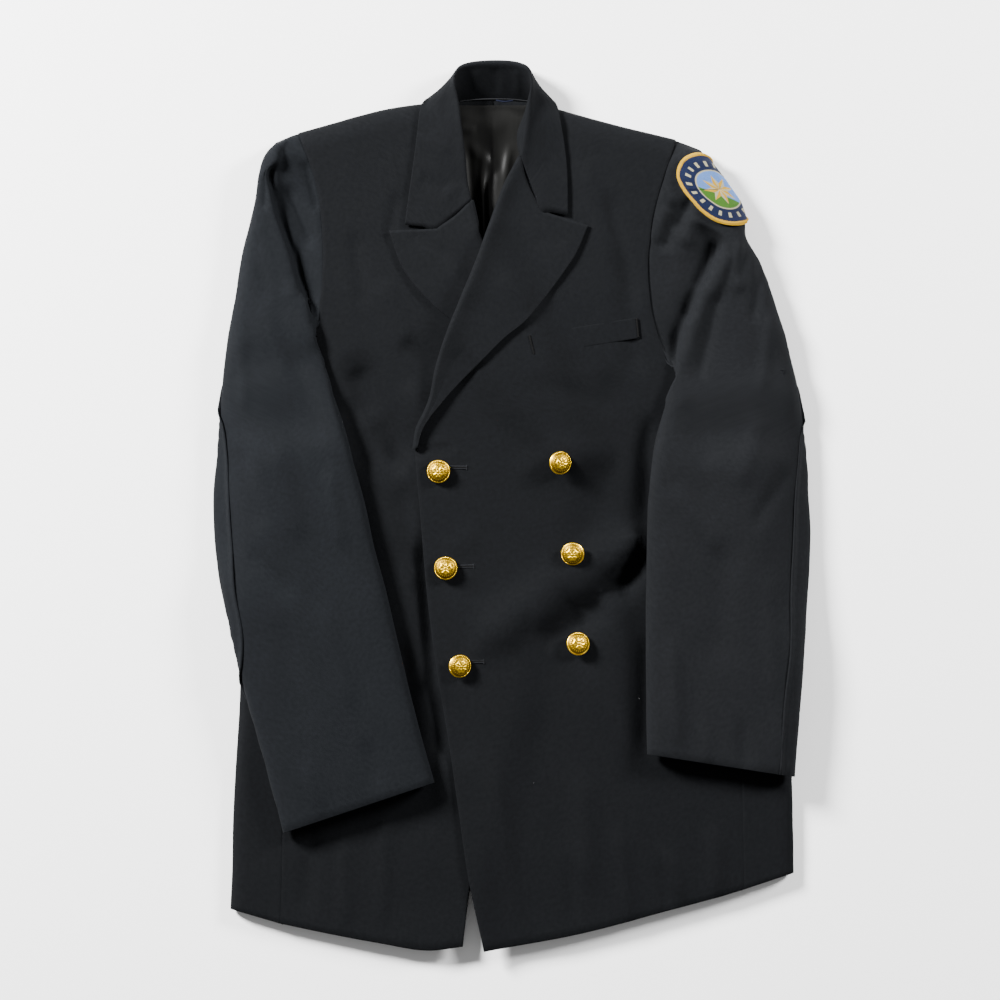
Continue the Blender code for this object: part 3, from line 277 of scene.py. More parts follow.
# Lining that shows in the neck: left and right edges from the back neck down into the V
LINING_LEFT = ((-53.7, 382.4), (-54.6, 359.6), (-50.8, 321.6), (-44.2, 278.8), (-32.8, 234.2))
LINING_RIGHT = ((19.5, 382.4), (16.6, 359.6), (7.1, 331.1), (-4.3, 278.8), (-19.5, 234.2))
LINING_FOLDS = (
    # x0, y0, x1, y1, half width, height
    (-27.1, 340.6, -29, 240.8, 4, 2.2),
    (-11.9, 326.3, -17.6, 245.6, 5, 1.8),
    (-51.8, 361.5, -34.7, 358.6, 4, 1.6),
)

# Breast welt, its corners from the lower left round
WELT_SINK = 0.2
WELT = ((20.4, 144.9), (119.2, 161), (117.3, 180.5), (15.7, 164.3))

# Buttons: centre, how far each leans in degrees, and how high its shank stands off the cloth
BUTTONS = (
    # x, y, lean about x, lean about y, lift
    (-69.8, 35.1, 3, -4, 0.8),
    (-63.2, -56.5, 0, 0, 0.8),
    (-50.8, -148.7, 6, 18, 0.8),
    (43.9, 43.2, 4, 20, 0.4),
    (57, -42.3, 12, -4, 0.8),
    (61.3, -128.3, -6, 12, 0.8),
)
PATCH_CENTRE_Y = 300.7
PATCH_INBOARD = 16.0
PATCH_CLEAR = 1.8
PATCH_RINGS = 14
PATCH_SPOKES = 72

FRONT_PANEL_COLUMNS = 13
ROLL_PUFF = 2.5
ROLL_REACH = 16.0
COLLAR_CLEAR = 4.0
LINING_CLEAR = 1.0


def smoothstep(t):
    t = np.clip(t, 0.0, 1.0)
    return t * t * (3.0 - 2.0 * t)


def curve(points, per_span=14):
    """Dense smooth curve through the points, which may be 2-D or 3-D."""
    p = np.array(points, float)
    step = np.maximum(np.linalg.norm(np.diff(p, axis=0), axis=1), 1e-6) ** 0.5
    slope = np.diff(p, axis=0) / step[:, None]
    tangent = np.empty_like(p)
    tangent[0], tangent[-1] = slope[0], slope[-1]
    before, after = step[:-1, None], step[1:, None]
    tangent[1:-1] = (slope[1:] * before + slope[:-1] * after) / (before + after)
    dense = []
    for i in range(len(p) - 1):
        t = np.linspace(0, 1, per_span, endpoint=False)[:, None]
        h = step[i]
        dense.append((2 * t**3 - 3 * t**2 + 1) * p[i] + (t**3 - 2 * t**2 + t) * h * tangent[i]
                     + (3 * t**2 - 2 * t**3) * p[i + 1] + (t**3 - t**2) * h * tangent[i + 1])
    return np.vstack(dense + [p[-1:]])


def lengths(points):
    return np.concatenate([[0.0], np.cumsum(np.linalg.norm(np.diff(points, axis=0), axis=1))])


def pick(points, along):
    """Points of a dense curve at the given distances along it."""
    s = lengths(points)
    return np.stack([np.interp(along, s, points[:, k]) for k in range(points.shape[1])], axis=1)


def even(points, count):
    """The curve through the points, cut into equal stretches."""
    dense = curve(points)
    return pick(dense, np.linspace(0.0, lengths(dense)[-1], count))


def join(*runs):
    """One list of points from runs that share their end points."""
    return np.vstack([np.array(runs[0])] + [np.array(run)[1:] for run in runs[1:]])


def coons(bottom, top, left, right):
    """Grid of plan points filled in between four edges of a piece."""
    u = (lengths(bottom) / lengths(bottom)[-1] + lengths(top) / lengths(top)[-1]) / 2
    v = (lengths(left) / lengths(left)[-1] + lengths(right) / lengths(right)[-1]) / 2
    u, v = u[None, :, None], v[:, None, None]
    between = (1 - v) * bottom[None] + v * top[None] + (1 - u) * left[:, None] + u * right[:, None]
    corners = ((1 - u) * (1 - v) * bottom[0] + u * (1 - v) * bottom[-1]
               + (1 - u) * v * top[0] + u * v * top[-1])
    return between - corners


def row_value(y, column):
    order = np.argsort(BODY_ROWS[:, 0])
    return np.interp(y, BODY_ROWS[order, 0], BODY_ROWS[order, column])


def folds(x, y, table):
    """Height that the folds of a table add: soft ridges and troughs that fade at their ends."""
    total = np.zeros(np.broadcast(x, y).shape)
    for x0, y0, x1, y1, half_width, height in table:
        run = math.hypot(x1 - x0, y1 - y0)
        along = ((x - x0) * (x1 - x0) + (y - y0) * (y1 - y0)) / run
        across = ((x - x0) * (y1 - y0) - (y - y0) * (x1 - x0)) / run
        fade = smoothstep(along / run / 0.25 + 0.2) * smoothstep((1 - along / run) / 0.25 + 0.2)
        total += height * np.exp(-(across / half_width) ** 2) * fade
    return total


def loft(x, y):
    """Height of the front cloth over the body, before it rolls over at the sides and shoulders."""
    left, right = row_value(y, 1), row_value(y, 2)
    t = np.clip((x - left) / (right - left), 0, 1) * 2 - 1
    side, middle = row_value(y, 3), row_value(y, 4)
    return np.maximum(side + (middle - side) * (1 - t * t) + folds(x, y, BODY_FOLDS), 6.5)


SHOULDER_LINE = np.array(SHOULDER_RIGHT + SHOULDER_LEFT[::-1])


def roll(x, y, reach=0.0):
    """1 on the flat of the body, falling to 0 at its shoulder seams and side folds."""
    neck_right, neck_left = SHOULDER_RIGHT[-1][0], SHOULDER_LEFT[-1][0]
    inside = np.maximum(np.minimum(x - neck_right, neck_left - x), 0)
    shoulder = np.interp(x, SHOULDER_LINE[:, 0], SHOULDER_LINE[:, 1]) - y + 2 * inside + reach
    above = 2 * np.maximum(y - UNDERARM_Y, 0)
    side = np.minimum(x - row_value(y, 1), row_value(y, 2) - x) + above + reach
    t = np.minimum(np.clip(shoulder / SHOULDER_ROLL, 0, 1), np.clip(side / SIDE_ROLL, 0, 1))
    return np.sqrt(np.maximum(1 - (1 - t) ** 2, 0))


def seam_height(x, y):
    return 0.5 * loft(x, y)


def front_height(x, y, reach=0.0):
    """Middle of the front cloth where it lies straight on the body."""
    low = seam_height(x, y)
    return low + (loft(x, y) - low) * roll(x, y, reach)


def back_height(x, y):
    """Middle of the back's cloth: flat on the floor, raised over the collar's edge at the neck."""
    over_collar = smoothstep((x - -76.5) / 10) * smoothstep((43.2 - x) / 10) * smoothstep((y - 344.4) / 28)
    base = BACK_WALL / 2 + 2.8 * over_collar
    return base + (seam_height(x, y) - base) * (1 - roll(x, y))


HIDDEN_FRONT = np.array(FRONT_EDGE_RIGHT + ROLL_RIGHT[1:])
HIDDEN_LAPEL = np.array(LAPEL_EDGE_RIGHT)


def overlap_rise(x, y):
    """How far the left front is lifted by the right front, and by its lapel, beneath it."""
    edge = np.interp(y, HIDDEN_FRONT[:, 1], HIDDEN_FRONT[:, 0])
    over_front = 1 - smoothstep((x - edge - 3) / 42)
    outer = np.interp(y, HIDDEN_LAPEL[:, 1], HIDDEN_LAPEL[:, 0])
    along_lapel = smoothstep((y - 17.6) / 36) * smoothstep((288.3 - y) / 25)
    over_lapel = smoothstep((x - outer + 52) / 50) * (1 - smoothstep((x - edge - 3) / 45)) * along_lapel
    return (FRONT_WALL + FRONT_CLEAR) * over_front + (FACING_WALL + ROLL_PUFF + LAPEL_CLEAR) * over_lapel


def left_front_height(x, y, reach=0.0):
    return front_height(x, y, reach) + overlap_rise(x, y)


def on_front(height):
    """Middle of a facing or collar leaf that lies on a front."""
    return lambda x, y: height(x, y) + FRONT_WALL / 2 + FACING_CLEAR + FACING_WALL / 2


def drape(plan, height):
    """Grid of 3-D points from a grid of plan points and a height."""
    return np.dstack([plan[..., 0], plan[..., 1], height(plan[..., 0], plan[..., 1])])


def draw_back(grid, first_row=0.0, last_row=0.0, first_column=0.0, last_column=0.0):
    """The grid with its edges drawn back along the cloth."""
    grid = grid.copy()
    ends = ((0, 0, first_row), (0, -1, last_row), (1, 0, first_column), (1, -1, last_column))
    for axis, end, amount in ends:
        if not amount:
            continue
        step = 1 if end == 0 else -1
        edge = np.take(grid, end, axis)
        inward = np.take(grid, end + step, axis) - edge
        moved = edge + inward * (amount / np.maximum(np.linalg.norm(inward, axis=-1, keepdims=True), 1e-3))
        if axis == 0:
            grid[end] = moved
        else:
            grid[:, end] = moved
    return grid


def side_seam(rows, which, fold_column, sign):
    """Points of a side body's front or back seam, from the hem up."""
    points = []
    for fold_y, front_y, back_y, reach in rows:
        y = front_y if which == "front" else back_y
        points.append((row_value(fold_y, fold_column) + sign * reach, y))
    return np.array(points)


def side_body(rows, fold_column, sign):
    """C-shaped wrap from the back seam round the side fold to the front seam."""
    grid = []
    for fold_y, front_y, back_y, reach in rows:
        fold_x = row_value(fold_y, fold_column)
        row = []
        for share in SIDE_COLUMNS[::-1]:
            x, y = fold_x + sign * reach * share, fold_y + (back_y - fold_y) * share
            row.append((x, y, back_height(x, y)))
        row.append((fold_x, fold_y, seam_height(fold_x, fold_y)))
        for share in SIDE_COLUMNS:
            x, y = fold_x + sign * reach * share, fold_y + (front_y - fold_y) * share
            row.append((x, y, front_height(x, y)))
        grid.append(row)
    return np.array(grid)


def armhole(head, count):
    """Armhole points of a body panel, from the side body's seam up to the shoulder."""
    return np.array([row[0] for row in head[:count]])[::-1]


def sleeve_path(head, point, fold, edge, row, valley_row, patch_room, surface):
    """Dense loop of a sleeve's cross-section, from its front seam over the top and back beneath."""
    point, fold, edge = (np.array(value) for value in (point, fold, edge))
    out = (edge - fold) / np.linalg.norm(edge - fold)
    width = np.linalg.norm(edge - fold)
    wall = SLEEVE_WALL / 2
    in_head = row < len(head)
    rounding = (0.0, 0.75, 0.95)[row] if row < 3 else 1.0
    ease = smoothstep(width / 60)

    def under(p):
        if row < len(head) - 1:
            near_edge = 1 - smoothstep((np.linalg.norm(p - edge) - 12.0) / 20.0)
            return wall + patch_room * near_edge * smoothstep(row) * smoothstep((9 - row) / 2)
        return surface(p[0], p[1]) + wall

    def body_clear(p):
        return surface(p[0], p[1]) + wall + 9.0 if len(head) - 3 < row < len(head) else 0.0

    visible = in_head and np.dot(point - fold, out) < -5.0
    crest = fold + out * (2.0 if visible else 6.0) * ease
    inner = fold + out * 0.9
    rise = SLEEVE_HEIGHT if in_head else 0.0
    if in_head:
        blend = smoothstep((row - len(head) + 4) / 4)
        top = (1 - blend) * rise + blend * (surface(*crest) + wall + SLEEVE_TUBE)
        edge_top = (1 - blend) * rise * 0.8 + blend * (under(edge) + SLEEVE_TUBE)
    else:
        top = under(crest) + SLEEVE_TUBE
        edge_top = under(edge - out * 8) + SLEEVE_TUBE * 0.9
    if in_head and not visible:
        top = max(top, surface(*point) + wall + 5.0)
    nodes = []
    if visible:
        start = front_height(*point)
        step = smoothstep((row - valley_row) / 2)
        rise_to = top - start
        valley = (1 - step) * (start + 0.5 * rise_to) + step * max(min(start, top) - SLEEVE_VALLEY, 8.0)
        crest_top = (1 - step) * (start + 0.75 * rise_to) + step * top
        foot = fold - out * 2.5
        middle = (point + foot) / 2
        nodes += [(*point, start), (*middle, (start + valley) / 2 - 0.5 * step), (*foot, valley),
                  (*crest, crest_top)]
    else:
        start = surface(*point) + wall
        heel = fold + out * float(np.clip(np.dot(point - fold, out), 0.0, 10.0))
        nodes.append((*point, start))
        for share in (0.33, 0.67, 1.0):
            p = point + (heel - point) * share
            nodes.append((*p, surface(*p) + wall))
        nodes += [(*inner, (surface(*inner) + wall + top) / 2), (*crest, top)]
    crest_index = len(nodes) - 1
    for share in (0.36, 0.7):
        p = fold + out * width * share
        z = top + 1.5 - (top - edge_top) * share if in_head else under(p) + SLEEVE_TUBE + 1.0
        nodes.append((*p, max(z, body_clear(p))))
    last = edge - out * 7.0 * ease
    nodes.append((*last, max(under(last) + (edge_top - under(last)) * 0.93, body_clear(last))))
    low_edge = under(edge)
    nodes.append((*(edge - out * wall), low_edge + (edge_top - low_edge) * 0.42))
    edge_index = len(nodes) - 1
    end = point
    turn = edge - out * 7.0 * ease
    nodes.append((*turn, under(turn)))
    if row == len(head) - 2:
        corner = np.array(head[-1][0]) - out * 1.0
        middle = (turn + corner) / 2
        nodes += [(*middle, under(middle)), (*corner, wall)]
    else:
        for share in (0.25, 0.5, 0.75):
            p = turn + (end - turn) * share
            nodes.append((*p, under(p)))
        nodes.append((*end, back_height(*end) if row < len(head) - 1 else surface(*end) + wall))
    nodes = np.array(nodes, float)
    if rounding < 1.0:
        middle_height = seam_height(*head[0][0])
        nodes[:, 2] = middle_height + (nodes[:, 2] - middle_height) * rounding
    dense = curve(nodes, PATH_STEPS)
    dense[:, 2] = np.maximum(dense[:, 2], wall)
    return dense, crest_index * PATH_STEPS, edge_index * PATH_STEPS


def sleeve_point(paths, head, y, inboard):
    """Point of a sleeve's wall: y of its outer edge, and distance in from that edge."""
    edge_y = np.array([row[2][1] for row in head])
    place = float(np.interp(-y, -edge_y, np.arange(len(edge_y))))
    low = min(int(place), len(edge_y) - 2)
    ends = []
    for row in (low, low + 1):
        dense, edge_index = paths[row]
        ends.append(pick(dense, [lengths(dense)[edge_index] - inboard])[0])
    return ends[0] + (ends[1] - ends[0]) * (place - low)


def roll_lift(distance):
    """How far a facing lifts near its roll line."""
    return ROLL_PUFF * np.exp(-(distance / ROLL_REACH) ** 2)


def collar_grid():
    """Collar rows from the stand's foot over the roll line to the edge of the leaf."""
    grid = []
    last = len(COLLAR_ROWS) - 1
    for index, (foot_x, foot_y, roll_x, roll_y, roll_z, edge_x, edge_y, edge_z) in enumerate(COLLAR_ROWS):
        behind = SHOULDER_FOOT_RIGHT < index < SHOULDER_FOOT_LEFT
        height = left_front_height if index > CENTRE_FOOT else front_height
        level = on_front(lambda x, y: height(x, y, COLLAR_CLEAR))
        foot = np.array((foot_x, foot_y, (back_height if behind else front_height)(foot_x, foot_y)))
        edge = np.array((edge_x, edge_y))
        plan = np.array((roll_x, roll_y))
        if index in (0, last):
            roll_z = float(level(roll_x, roll_y)) + ROLL_PUFF
        top = np.array((roll_x, roll_y, roll_z))
        row = [foot + (top - foot) * share for share in (0.0, 0.45, 0.85)]
        out = (edge - plan) / np.linalg.norm(edge - plan)
        if behind:
            back = np.array((0.0, 1.0))
            row.append(np.array((*(plan + back * 1.2), roll_z + 0.6)))
            for share, reach in ((0.2, 3.6), (0.5, 3.4), (0.8, 2.0)):
                row.append(np.array((*(plan + back * reach), roll_z + (edge_z + 2.0 - roll_z) * share)))
            for share in (0.3, 0.65, 1.0):
                p = plan + (edge - plan) * share
                row.append(np.array((*p, edge_z + 1.2 * (1 - share))))
        else:
            row.append(np.array((*(plan + out * 1.2), roll_z + 0.5)))
            bend = np.array(GORGE_RIGHT[-1] if index == 0 else GORGE_LEFT[-1])
            start = float(level(*plan))
            for step in range(1, 7):
                if index in (0, last):
                    if step <= 3:
                        p = plan + (bend - plan) * step / 3
                    else:
                        p = bend + (edge - bend) * (step - 3) / 3
                    z = level(*p) + roll_lift(np.linalg.norm(p - plan))
                else:
                    share = step / 6
                    p = plan + (edge - plan) * share
                    z = level(*p) + (roll_z - start) * (1 - share) ** 1.6
                row.append(np.array((*p, float(z))))
        grid.append(row)
    return np.array(grid)


# Cloth seen close: seams that are sewn shut, and the fine grid that each piece is made on
FINE_ROWS = 7
FINE_COLUMNS = 6
LAPEL_ROWS = 90
LAPEL_SPAN = (12, 34)
RIM = 0.42
SEAM_DIP = 0.5
SEAM_DIP_WIDTH = 2.2
COLLAR_STEPS = (8, 6)
SIDE_STEPS = (8, 6)

# Seeds of each piece's unevenness. A side body has its front's, so the seam between them closes.
FRONT_SEEDS = {"left": 11, "right": 12}
BACK_SEED = 21
LAPEL_SEEDS = {"left": 41, "right": 42}
COLLAR_SEED = 43
SLEEVE_SEEDS = {"left": 51, "right": 52}

SIDES = {
    "right": {
        "rows": SIDE_ROWS_RIGHT, "fold": 1, "sign": 1, "hem": HEM_RIGHT, "back_hem": HEM_BACK_RIGHT,
        "head": SLEEVE_HEAD_RIGHT, "tube": SLEEVE_TUBE_RIGHT, "hind": HIND_RIGHT,
        "shoulder": SHOULDER_RIGHT,
        "edge": FRONT_EDGE_RIGHT, "roll": ROLL_RIGHT, "height": front_height, "gorge": GORGE_RIGHT,
        "lapel_edge": LAPEL_EDGE_RIGHT, "valley": 2, "room": 0.0,
        "neck": range(1, SHOULDER_FOOT_RIGHT + 1), "back_neck": range(SHOULDER_FOOT_RIGHT, CENTRE_FOOT + 1),
    },
    "left": {
        "rows": SIDE_ROWS_LEFT, "fold": 2, "sign": -1, "hem": HEM_LEFT, "back_hem": HEM_BACK_LEFT,
        "head": SLEEVE_HEAD_LEFT, "tube": SLEEVE_TUBE_LEFT, "hind": HIND_LEFT, "shoulder": SHOULDER_LEFT,
        "edge": FRONT_EDGE_LEFT, "roll": ROLL_LEFT, "height": left_front_height, "gorge": GORGE_LEFT,
        "lapel_edge": LAPEL_EDGE_LEFT, "valley": 5, "room": PATCH_ROOM,
        "neck": range(len(COLLAR_ROWS) - 2, SHOULDER_FOOT_LEFT - 1, -1),
        "back_neck": range(SHOULDER_FOOT_LEFT, CENTRE_FOOT - 1, -1),
    },
}

# Creases of the fronts, in plan: start, end, half width, height (a trough is negative)
FRONT_CREASES = {
    "left": (
        # x0, y0, x1, y1, half width, height
        (122, -20, 86, -66, 8, 5.2),
        (88, -64, 52, -87, 8, 4.8),
        (54, -86, 16, -108, 7, 3.4),
        (18, -107, -42, -127, 7, 2.2),
        (130, -38, 98, -84, 11, -6.8),
        (90, -92, 62, -112, 10, -4.2),
        (70, -104, 26, -128, 8, -3.4),
        (129, 90, 127, -20, 9, -4.6),
        (128, -120, 126, -236, 9, -4.2),
        (-92, 46, -48, 48, 3.2, 2.4),
        (-92, 53, -56, 55, 2.6, -2.8),
        (-82, 38, -60, 22, 5, -1.4),
        (-66, -45, -30, -20, 7, 1.4),
        (-74, -70, -20, -84, 8, -1.2),
        (-45, -140, 10, -122, 7, 1.9),
        (30, 60, 96, 44, 12, 1.5),
        (88, 130, 124, 40, 12, -2.2),
        (104, 235, 118, 120, 10, -2.0),
        (66, 330, 96, 232, 11, 1.7),
        (90, 300, 118, 190, 8, -2.2),
        (20, 120, 100, 96, 10, -1.0),
        (66, -150, 118, -240, 13, 2.0),
        (20, -190, 60, -330, 16, -1.7),
        (-20, -230, 6, -400, 9, 1.5),
        (100, -300, 112, -392, 7, 1.7),
        (140, -330, 150, -380, 6, -1.9),
        (190, -300, 196, -366, 8, 2.0),
        (54, -330, 58, -396, 6, -1.2),
    ),
    "right": (
        (-149, 132, -130, 84, 12, -3.4),
        (-130, 86, -98, 36, 14, -3.8),
        (-160, 104, -138, 30, 13, -4.8),
        (-104, 160, -66, 130, 9, -2.4),
        (-84, -30, -75, -150, 9, -7.0),
        (-78, -140, -66, -240, 9, -6.2),
        (-108, -120, -92, -240, 11, -3.8),
        (-126, 214, -96, 150, 10, 1.7),
        (-150, 262, -140, 190, 8, -1.7),
        (-108, 300, -118, 250, 6, -1.5),
        (-98, 120, -70, 60, 11, 2.5),
        (-112, 20, -84, -60, 10, -2.0),
        (-84, 40, -90, -40, 8, 1.9),
        (-66, -40, -56, -160, 8, -2.5),
        (-50, -180, -34, -260, 9, -2.7),
        (-76, -150, -62, -300, 9, 2.0),
        (-120, -290, -124, -398, 8, 1.4),
        (-190, -300, -196, -386, 9, -1.5),
        (-160, -310, -158, -396, 8, 1.5),
    ),
}

# Creases of the sleeves' upper side
SLEEVE_CREASES = {
    "left": (
        (172, 300, 156, 262, 5, -4.6),
        (174, 278, 162, 248, 7, 2.4),
        (158, 292, 142, 242, 8, -4.2),
        (147, 286, 136, 250, 6, 1.8),
        (197, 255, 174, 206, 6, -5.0),
        (176, 208, 166, 178, 6, -3.6),
        (215, 255, 213, 203, 6, 3.4),
        (206, 244, 186, 196, 5, 2.4),
        (221, 257, 214, 212, 5, -2.6),
        (236, 236, 228, 176, 5, -2.3),
        (186, 236, 160, 130, 7, 3.4),
        (196, 210, 176, 120, 6, -2.7),
        (244, 186, 236, 110, 6, 2.1),
        (160, 100, 190, 40, 12, -2.1),
        (236, 90, 214, 20, 10, 1.7),
        (150, 20, 196, -40, 9, 1.7),
        (262, 40, 226, -20, 7, -1.9),
        (200, -30, 196, -150, 14, -1.7),
        (240, -60, 248, -180, 9, 1.5),
        (150, -120, 156, -230, 8, 1.7),
        (216, -200, 222, -246, 7, -1.7),
        (180, -206, 186, -240, 6, 1.3),
    ),
    "right": (
        (-216, 307, -190, 246, 6, -4.4),
        (-216, 293, -188, 170, 6, 3.2),
        (-223, 346, -225, 294, 4, 3.2),
        (-198, 330, -184, 280, 5, -2.8),
        (-232, 330, -236, 280, 4, -2.3),
        (-206, 250, -198, 196, 5, -3.4),
        (-214, 214, -184, 150, 8, 2.7),
        (-246, 262, -232, 190, 7, -2.3),
        (-240, 214, -214, 120, 9, 1.9),
        (-206, 150, -180, 60, 9, -1.9),
        (-258, 170, -252, 90, 6, 1.9),
        (-262, 60, -236, -20, 10, -2.3),
        (-226, 60, -200, -30, 11, 2.1),
        (-174, 40, -160, -40, 7, 1.9),
        (-250, -40, -206, -84, 8, -1.7),
        (-220, -100, -196, -210, 12, -1.5),
        (-180, -90, -150, -190, 10, 1.7),
        (-196, -240, -180, -286, 7, 1.5),
        (-140, -220, -126, -262, 8, -1.7),
    ),
}

# Creases of the back, which is hidden in the photograph
BACK_CREASES = (
    (-150, 330, -90, 250, 12, 0.7),
    (110, 330, 60, 240, 13, -0.6),
    (-190, 120, -120, 60, 12, -0.7),
    (180, 110, 110, 40, 14, 0.7),
    (-120, -60, -60, -160, 16, 0.6),
    (120, -80, 60, -190, 15, -0.6),
    (-60, 60, 40, 20, 18, 0.5),
)
COLLAR_CREASES = (
    (-16, 418, -17, 392, 5, -0.9),
    (-34, 416, -33, 394, 4, 0.7),
    (4, 416, 5, 392, 4, 0.7),
    (-92, 352, -60, 336, 6, 0.7),
    (-88, 312, -60, 300, 8, -1.1),
    (-66, 296, -48, 304, 5, 0.9),
    (40, 330, 22, 318, 6, -0.6),
)
LAPEL_CREASES = {
    "right": ((-96, 262, -60, 236, 6, -0.8), (-60, 230, -30, 190, 8, 0.7), (-20, 196, 0, 150, 6, -0.6)),
    "left": ((20, 256, 50, 250, 6, -0.5), (-10, 220, 16, 190, 10, 0.6), (-52, 150, -34, 128, 6, -0.7)),
}
LINING_CREASES = (
    # x0, y0, x1, y1, half width, height
    (-42, 350, -36, 262, 4, -1.6),
    (-3, 345, -12, 262, 4, 2.0),
    (-44, 346, -14, 322, 5, 1.3),
    (-30, 318, -24, 250, 3, 1.4),
    (-50, 370, -6, 360, 6, 0.9),
    (-20, 376, -19, 300, 2, -0.6),
)

# Small sewing: buttonholes, then specks of lint
BUTTONHOLES = (
    # start x, y and end x, y under the buttons at the left front's edge
    (-76.0, 39.2, -43.4, 38.6),
    (-69.0, -55.6, -36.6, -54.6),
    (-56.0, -145.6, -27.2, -144.6),
)
LINT = (
    # x, y, length
    (-159.1, -143.9, 1.2),
    (120.0, -180.0, 1.0),
    (20.0, -260.0, 0.8),
    (-96.0, -210.0, 0.8),
)

# Stage: the second lamp's share of the first one's power, then the camera. Its height and the
# frame's width are in metres.
SECOND_SHARE = 0.42
CAMERA_HEIGHT = 5.0
FRAME_WIDTH = 0.95
CAMERA_PLACE = (-11.6, 6.0)


def refine(grid, row_steps, column_steps):
    """The grid with smooth stretches put in between its rows and its columns."""
    rows, columns, size = grid.shape
    grid = curve(grid.reshape(rows, -1), row_steps).reshape(-1, columns, size)
    turned = grid.transpose(1, 0, 2)
    turned = curve(turned.reshape(columns, -1), column_steps).reshape(-1, len(grid), size)
    return turned.transpose(1, 0, 2)


def allow(grid, edge, reach=3.0, drop=2.2, part=slice(None)):
    """The grid with a seam allowance that runs on past an edge and dips beneath its neighbour."""
    normal = grid_normals(grid)
    if edge == "first_row":
        line, inner, up = grid[0], grid[1], normal[0]
    elif edge == "last_row":
        line, inner, up = grid[-1], grid[-2], normal[-1]
    elif edge == "first_column":
        line, inner, up = grid[:, 0], grid[:, 1], normal[:, 0]
    else:
        line, inner, up = grid[:, -1], grid[:, -2], normal[:, -1]
    share = np.zeros((len(line), 1))
    share[part] = 1.0
    out = unit(line - inner)
    near = line + (out * 0.5 - up * drop) * share
    far = line + (out * reach - up * drop) * share
    if edge.endswith("row"):
        near, far = near[None], far[None]
        return np.concatenate([far, near, grid] if edge == "first_row" else [grid, near, far], axis=0)
    near, far = near[:, None], far[:, None]
    return np.concatenate([far, near, grid] if edge == "first_column" else [grid, near, far], axis=1)


def unit(vectors):
    return vectors / np.maximum(np.linalg.norm(vectors, axis=-1, keepdims=True), 1e-9)


def grid_normals(grid):
    """Normals of a grid, turned so that they point up where the piece faces up on the whole."""
    normal = unit(np.cross(np.gradient(grid, axis=1), np.gradient(grid, axis=0)))
    top = grid[..., 2] >= np.quantile(grid[..., 2], 0.6)
    return normal if normal[top][:, 2].mean() > 0 else -normal


def ripple(x, y, seed, height):
    """Faint unevenness of cloth: a sum of long waves in fixed random directions."""
    random = np.random.default_rng(seed)
    total = np.zeros(np.shape(x))
    for wavelength in (150, 110, 84, 62, 47, 35, 27):
        angle, phase = random.uniform(0, math.pi), random.uniform(0, 2 * math.pi)
        along = x * math.cos(angle) + y * math.sin(angle)
        across = x * math.sin(angle) - y * math.cos(angle)
        bend = 0.6 * np.sin(across * 2 * math.pi / (wavelength * 2.3) + phase)
        total += np.sin(along * 2 * math.pi / wavelength + phase + bend) * (wavelength / 150) ** 0.7
    return total * height / 2


def crease(grid, table, seed, height=0.28, floor_side=False):
    """The grid moved along its normals by a table of creases and a faint unevenness."""
    normal = grid_normals(grid)
    facing = -normal[..., 2] if floor_side else normal[..., 2]
    weight = smoothstep((facing - 0.1) / 0.4)
    x, y = grid[..., 0], grid[..., 1]
    move = folds(x, y, table) * weight + ripple(x, y, seed, height)
    return grid + normal * move[..., None]


def edge_distances(grid):
    """Distance of each point of the grid from its first and last row and column, along the cloth."""
    row_steps = np.linalg.norm(np.diff(grid, axis=0), axis=2)
    column_steps = np.linalg.norm(np.diff(grid, axis=1), axis=2)
    down = np.concatenate([np.zeros((1, grid.shape[1])), np.cumsum(row_steps, 0)])
    across = np.concatenate([np.zeros((grid.shape[0], 1)), np.cumsum(column_steps, 1)], axis=1)
    return {"first_row": down, "last_row": down[-1:] - down, "first_column": across,
            "last_column": across[:, -1:] - across}


def sink(grid, edges, depth=SEAM_DIP, width=SEAM_DIP_WIDTH):
    """The grid pulled down beside the edges where it is sewn to its neighbours."""
    distance = edge_distances(grid)
    amount = sum(depth * np.exp(-(distance[edge] / width) ** 2) for edge in edges)
    return grid - grid_normals(grid) * amount[..., None]


def new_piece(name, mesh):
    """An object of the mesh, which rides on the body."""
    piece = bpy.data.objects.new(name, mesh)
    bpy.context.scene.collection.objects.link(piece)
    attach(piece, "root")
    return piece


